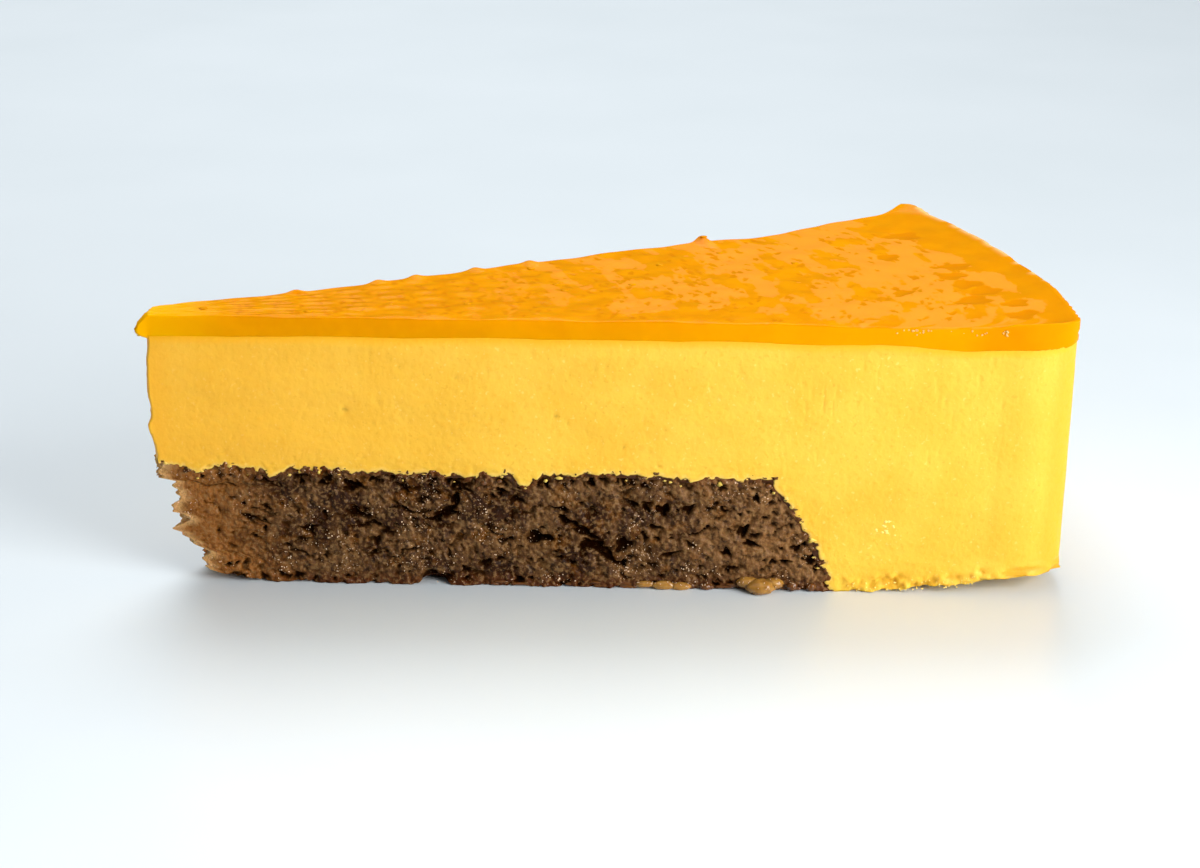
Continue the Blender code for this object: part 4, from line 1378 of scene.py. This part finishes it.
def edge_spots(rng, count, side, start, reach, small, large):
    """Places along the sponge's top line and slope, from start to start + reach past it."""
    spots = []
    for number in range(count):
        size = small + (large - small) * rng.uniform() ** 2
        past = start + reach * rng.uniform() ** 1.6
        if number % 5 == 0:
            z = rng.uniform(0.5, 17.0)
            s = float(sponge_side(z / SPONGE_HEIGHT)) + past
        else:
            s = rng.uniform(1.0, 89.0)
            z = float(top_line(s, side)) + past
        sizes = size * np.array([rng.uniform(0.6, 1.8), 0.6, rng.uniform(0.4, 1.1)])
        spots.append((on_face(s, z, 0.25 * size - 0.1, side), sizes))
    return spots


rng = np.random.default_rng(800)
spots = [spot for side in (NEAR, FAR) for spot in edge_spots(rng, CRUMBS, side, *CRUMB_REACH, *CRUMB_SIZES)]
lumps("loose_crumbs", spots, banana_crumb, "sponge", 801,
      {"from_tip": 60.0, "edge": 0.8, "height": 9.0}, uneven=0.5)
spots = [spot for side in (NEAR, FAR) for spot in edge_spots(rng, FLECKS, side, *FLECK_REACH, *FLECK_SIZES)]
for number in range(TIP_FLECKS):
    place = on_face(rng.uniform(-1.6, -0.2), rng.uniform(37.2, 39.2), -0.3 - 0.6 * rng.uniform(), NEAR)
    spots.append((place, rng.uniform(0.15, 0.35, 3)))
lumps("cream_flecks", spots, fruit_cream, "mousse", 802,
      {"from_tip": 60.0, "edge": -0.1, "under_jelly": 9.0}, uneven=0.5)

# %% [markdown]
# Syrup ran out of the sponge and set in drops along the foot; the largest stands out by over
# two millimetres. Set syrup is glossy and glows. The fresh drops are golden, and those along
# the crust are darker, because crumbs lie in them.

# %% Set the drops of syrup
# along, up, out, and the half sizes along, out and up
SYRUP_DROPS = (
    (86.9, 1.0, 0.9, 2.2, 1.5, 1.1), (88.7, 1.3, 0.4, 1.5, 1.0, 0.8), (85.0, 1.4, 0.3, 1.6, 0.9, 0.8),
    (72.9, 0.6, 0.1, 1.7, 0.6, 0.7), (75.4, 0.5, 0.1, 1.5, 0.6, 0.6), (70.2, 0.7, 0.0, 1.4, 0.5, 0.5),
    (79.0, 0.5, 0.1, 0.9, 0.5, 0.5), (91.5, 0.8, 0.2, 0.8, 0.6, 0.7), (94.2, 0.7, 0.1, 0.7, 0.5, 0.6),
    (47.0, 16.0, -0.1, 0.5, 0.3, 0.4), (49.2, 16.3, -0.1, 0.4, 0.3, 0.3), (87.6, 16.2, 0.0, 0.5, 0.35, 0.4),
    (46.2, 15.1, -0.1, 0.3, 0.25, 0.3), (14.8, 16.3, -0.1, 0.5, 0.3, 0.35),
)
GOLDEN_DROPS = 6
CRUST_DROPS = 20


def set_syrup(name, dark, light):
    """Set syrup: glossy and glowing, cloudy with crumbs that are a millimetre apart."""
    return make_finish(
        name, dark, noises={"cloudy": (0.8, 2.0)}, rows=[(light, ("cloudy", -0.25, 1.25, 0.0, 1.0))],
        values={"Roughness": 0.12, "IOR": 1.48, "Subsurface Weight": 0.25,
                "Subsurface Radius": (1.0, 0.5, 0.15), "Subsurface Scale": 1.0 * MM})


rng = np.random.default_rng(810)
spots = [(on_face(s, z, out, NEAR), half_sizes) for s, z, out, *half_sizes in SYRUP_DROPS]
lumps("syrup_drops", spots[:GOLDEN_DROPS], set_syrup("set_golden_syrup", "#6E4414", "#C08E40"),
      "sponge", 812, rounds=3, uneven=0.08)
dark_spots = spots[GOLDEN_DROPS:]
for side in (NEAR, FAR):
    for number in range(CRUST_DROPS):
        place = on_face(rng.uniform(48.0, 96.0), rng.uniform(0.2, 0.8), -0.2, side)
        dark_spots.append((place, (rng.uniform(0.4, 1.5), rng.uniform(0.2, 0.35), rng.uniform(0.15, 0.35))))
lumps("crust_syrup", dark_spots, set_syrup("set_dark_syrup", "#3E1F08", "#7A4A1A"),
      "sponge", 811, rounds=3, uneven=0.10)

# %% [markdown]
# Beads of moisture are what makes cut cake look fresh. They are only a tenth or two of a
# millimetre across, so each one is a point of light: close together near the sponge's foot,
# and here and there on the torn foot of the mousse. Each bead is very smooth and painted pale,
# a painted highlight for the glint on it, tinted after what it lies on: pinkish cream on the
# sponge and yellow on the mousse.

# %% Find places for the beads on the sponge and the mousse
BEAD_CLUSTERS = 34
CLUSTER_BEADS = 7
FOOT_BEADS = 60
SHINE_PLACE = (104.8, 10.2)
SHINE_BEADS = 22

rng = np.random.default_rng(820)
bead_spots, pale_spots = [], []
for side in (NEAR, FAR):
    clusters = [(rng.uniform(14.0, 93.0), 1.0 + 12.0 * rng.uniform() ** 1.8)
                for number in range(BEAD_CLUSTERS)]
    for number in range(CLUSTER_BEADS * BEAD_CLUSTERS):
        middle_s, middle_z = clusters[number % BEAD_CLUSTERS]
        s = middle_s + rng.normal(0.0, 0.7)
        z = max(middle_z + rng.normal(0.0, 0.5), 0.3)
        size = rng.uniform(0.04, 0.10)
        out = float(sponge_relief(np.array(s), np.array(z), side)[0])
        if z < float(inside_sponge(np.array(s), np.array(0.0), side)) and out > -0.5:
            bead_spots.append((on_face(s, z, out, side), size * rng.uniform(0.8, 1.5, 3)))
    for number in range(FOOT_BEADS):
        s = rng.uniform(98.5, 118.0)
        z = float(base(np.array(s))) + 0.2 + 1.6 * rng.uniform() ** 2
        pale_spots.append((on_face(s, z, 0.2 * rng.uniform(), side), rng.uniform(0.06, 0.16, 3)))
for number in range(SHINE_BEADS):
    place = on_face(rng.normal(SHINE_PLACE[0], 0.7), rng.normal(SHINE_PLACE[1], 0.5), 0.0, NEAR)
    pale_spots.append((place, np.array([1.3, 0.5, 1.0]) * rng.uniform(0.08, 0.24)))
print("beads on the sponge:", len(bead_spots), "on the mousse:", len(pale_spots))

# %% [markdown]
# Air bubbles stopped under the jelly's cut edge, and some more stand out of its top as flat
# domes. The largest drops of syrup carry a few beads too.

# %% Set the beads and the bubbles
JELLY_EDGE_BEADS = ((106.5, 1.6), (108.2, 1.0), (115.4, 1.4), (119.6, 0.4))
EDGE_CLUSTER = 7
WET_DROPS = 9
DROP_BEADS = 5
JELLY_BUBBLES = (
    (58.4, 11.8), (59.2, 2.9), (59.7, -0.3), (77.1, 7.2), (88.3, 9.4), (8.1, 9.0), (22.5, -8.3), (70.0, 0.5),
    (45.0, -5.0), (34.0, -3.5), (88.8, 13.6), (97.0, 4.0), (40.0, 9.5),
)
DOME_SIZE = (0.6, 0.5, 0.16)

bubble_spots = []
for s, spread in JELLY_EDGE_BEADS:
    for number in range(EDGE_CLUSTER):
        place = on_face(s + rng.normal(0.0, spread), 39.5 + rng.uniform(-0.4, 0.3), 0.0, NEAR)
        bubble_spots.append((place, rng.uniform(0.08, 0.18, 3)))
for s, z, out, half_s, half_out, half_z in SYRUP_DROPS[:WET_DROPS]:
    for number in range(DROP_BEADS):
        angle = rng.uniform(0.2, 1.4)
        place = on_face(s + rng.normal(0.0, 0.6) * half_s, z + half_z * math.cos(angle),
                        out + half_out * math.sin(angle), NEAR)
        bead_spots.append((place, rng.uniform(0.05, 0.10, 3)))
# painted highlights: pale finishes for the beads, standing in for their glints
painted_glint_pale, painted_glint_cream = (
    make_finish(name, tint, values={"Roughness": 0.08, "IOR": 1.34})
    for name, tint in (("painted_glint_pale", "#EACBA8"), ("painted_glint_cream", "#FFE27E")))
lumps("sponge_beads", bead_spots, painted_glint_pale, "sponge", 821, rounds=1, uneven=0.1)
lumps("mousse_beads", pale_spots, painted_glint_cream, "mousse", 824, rounds=1, uneven=0.1)
# the bubbles at the jelly's edge take the pale rim tint, as painted highlights
lumps("edge_bubbles", bubble_spots, fruit_gel, "jelly", 825, {"from_tip": 60.0, "rim": 0.6}, uneven=0.1)

dome_spots = []
for r, bearing in JELLY_BUBBLES:
    angle = math.radians(bearing)
    z = float(jelly_top(np.array(r), np.array(angle / HALF_ANGLE)))
    dome_spots.append((np.array([r * math.cos(angle), r * math.sin(angle), z]), DOME_SIZE))
lumps("jelly_bubbles", dome_spots, fruit_gel, "jelly", 822, {"from_tip": 30.0}, uneven=0.06)

# %% [markdown]
# ## Room in the box
# The new pieces have to stay inside the box of the solid model. The room that is left on each
# side is printed.

# %% Print the room left in the box
visual_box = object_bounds()
for axis, name in enumerate("xyz"):
    low_room = 1000 * (visual_box[0][axis] - cad_box[0][axis])
    high_room = 1000 * (cad_box[1][axis] - visual_box[1][axis])
    print("room in", name, "mm:", round(low_room, 2), round(high_room, 2))
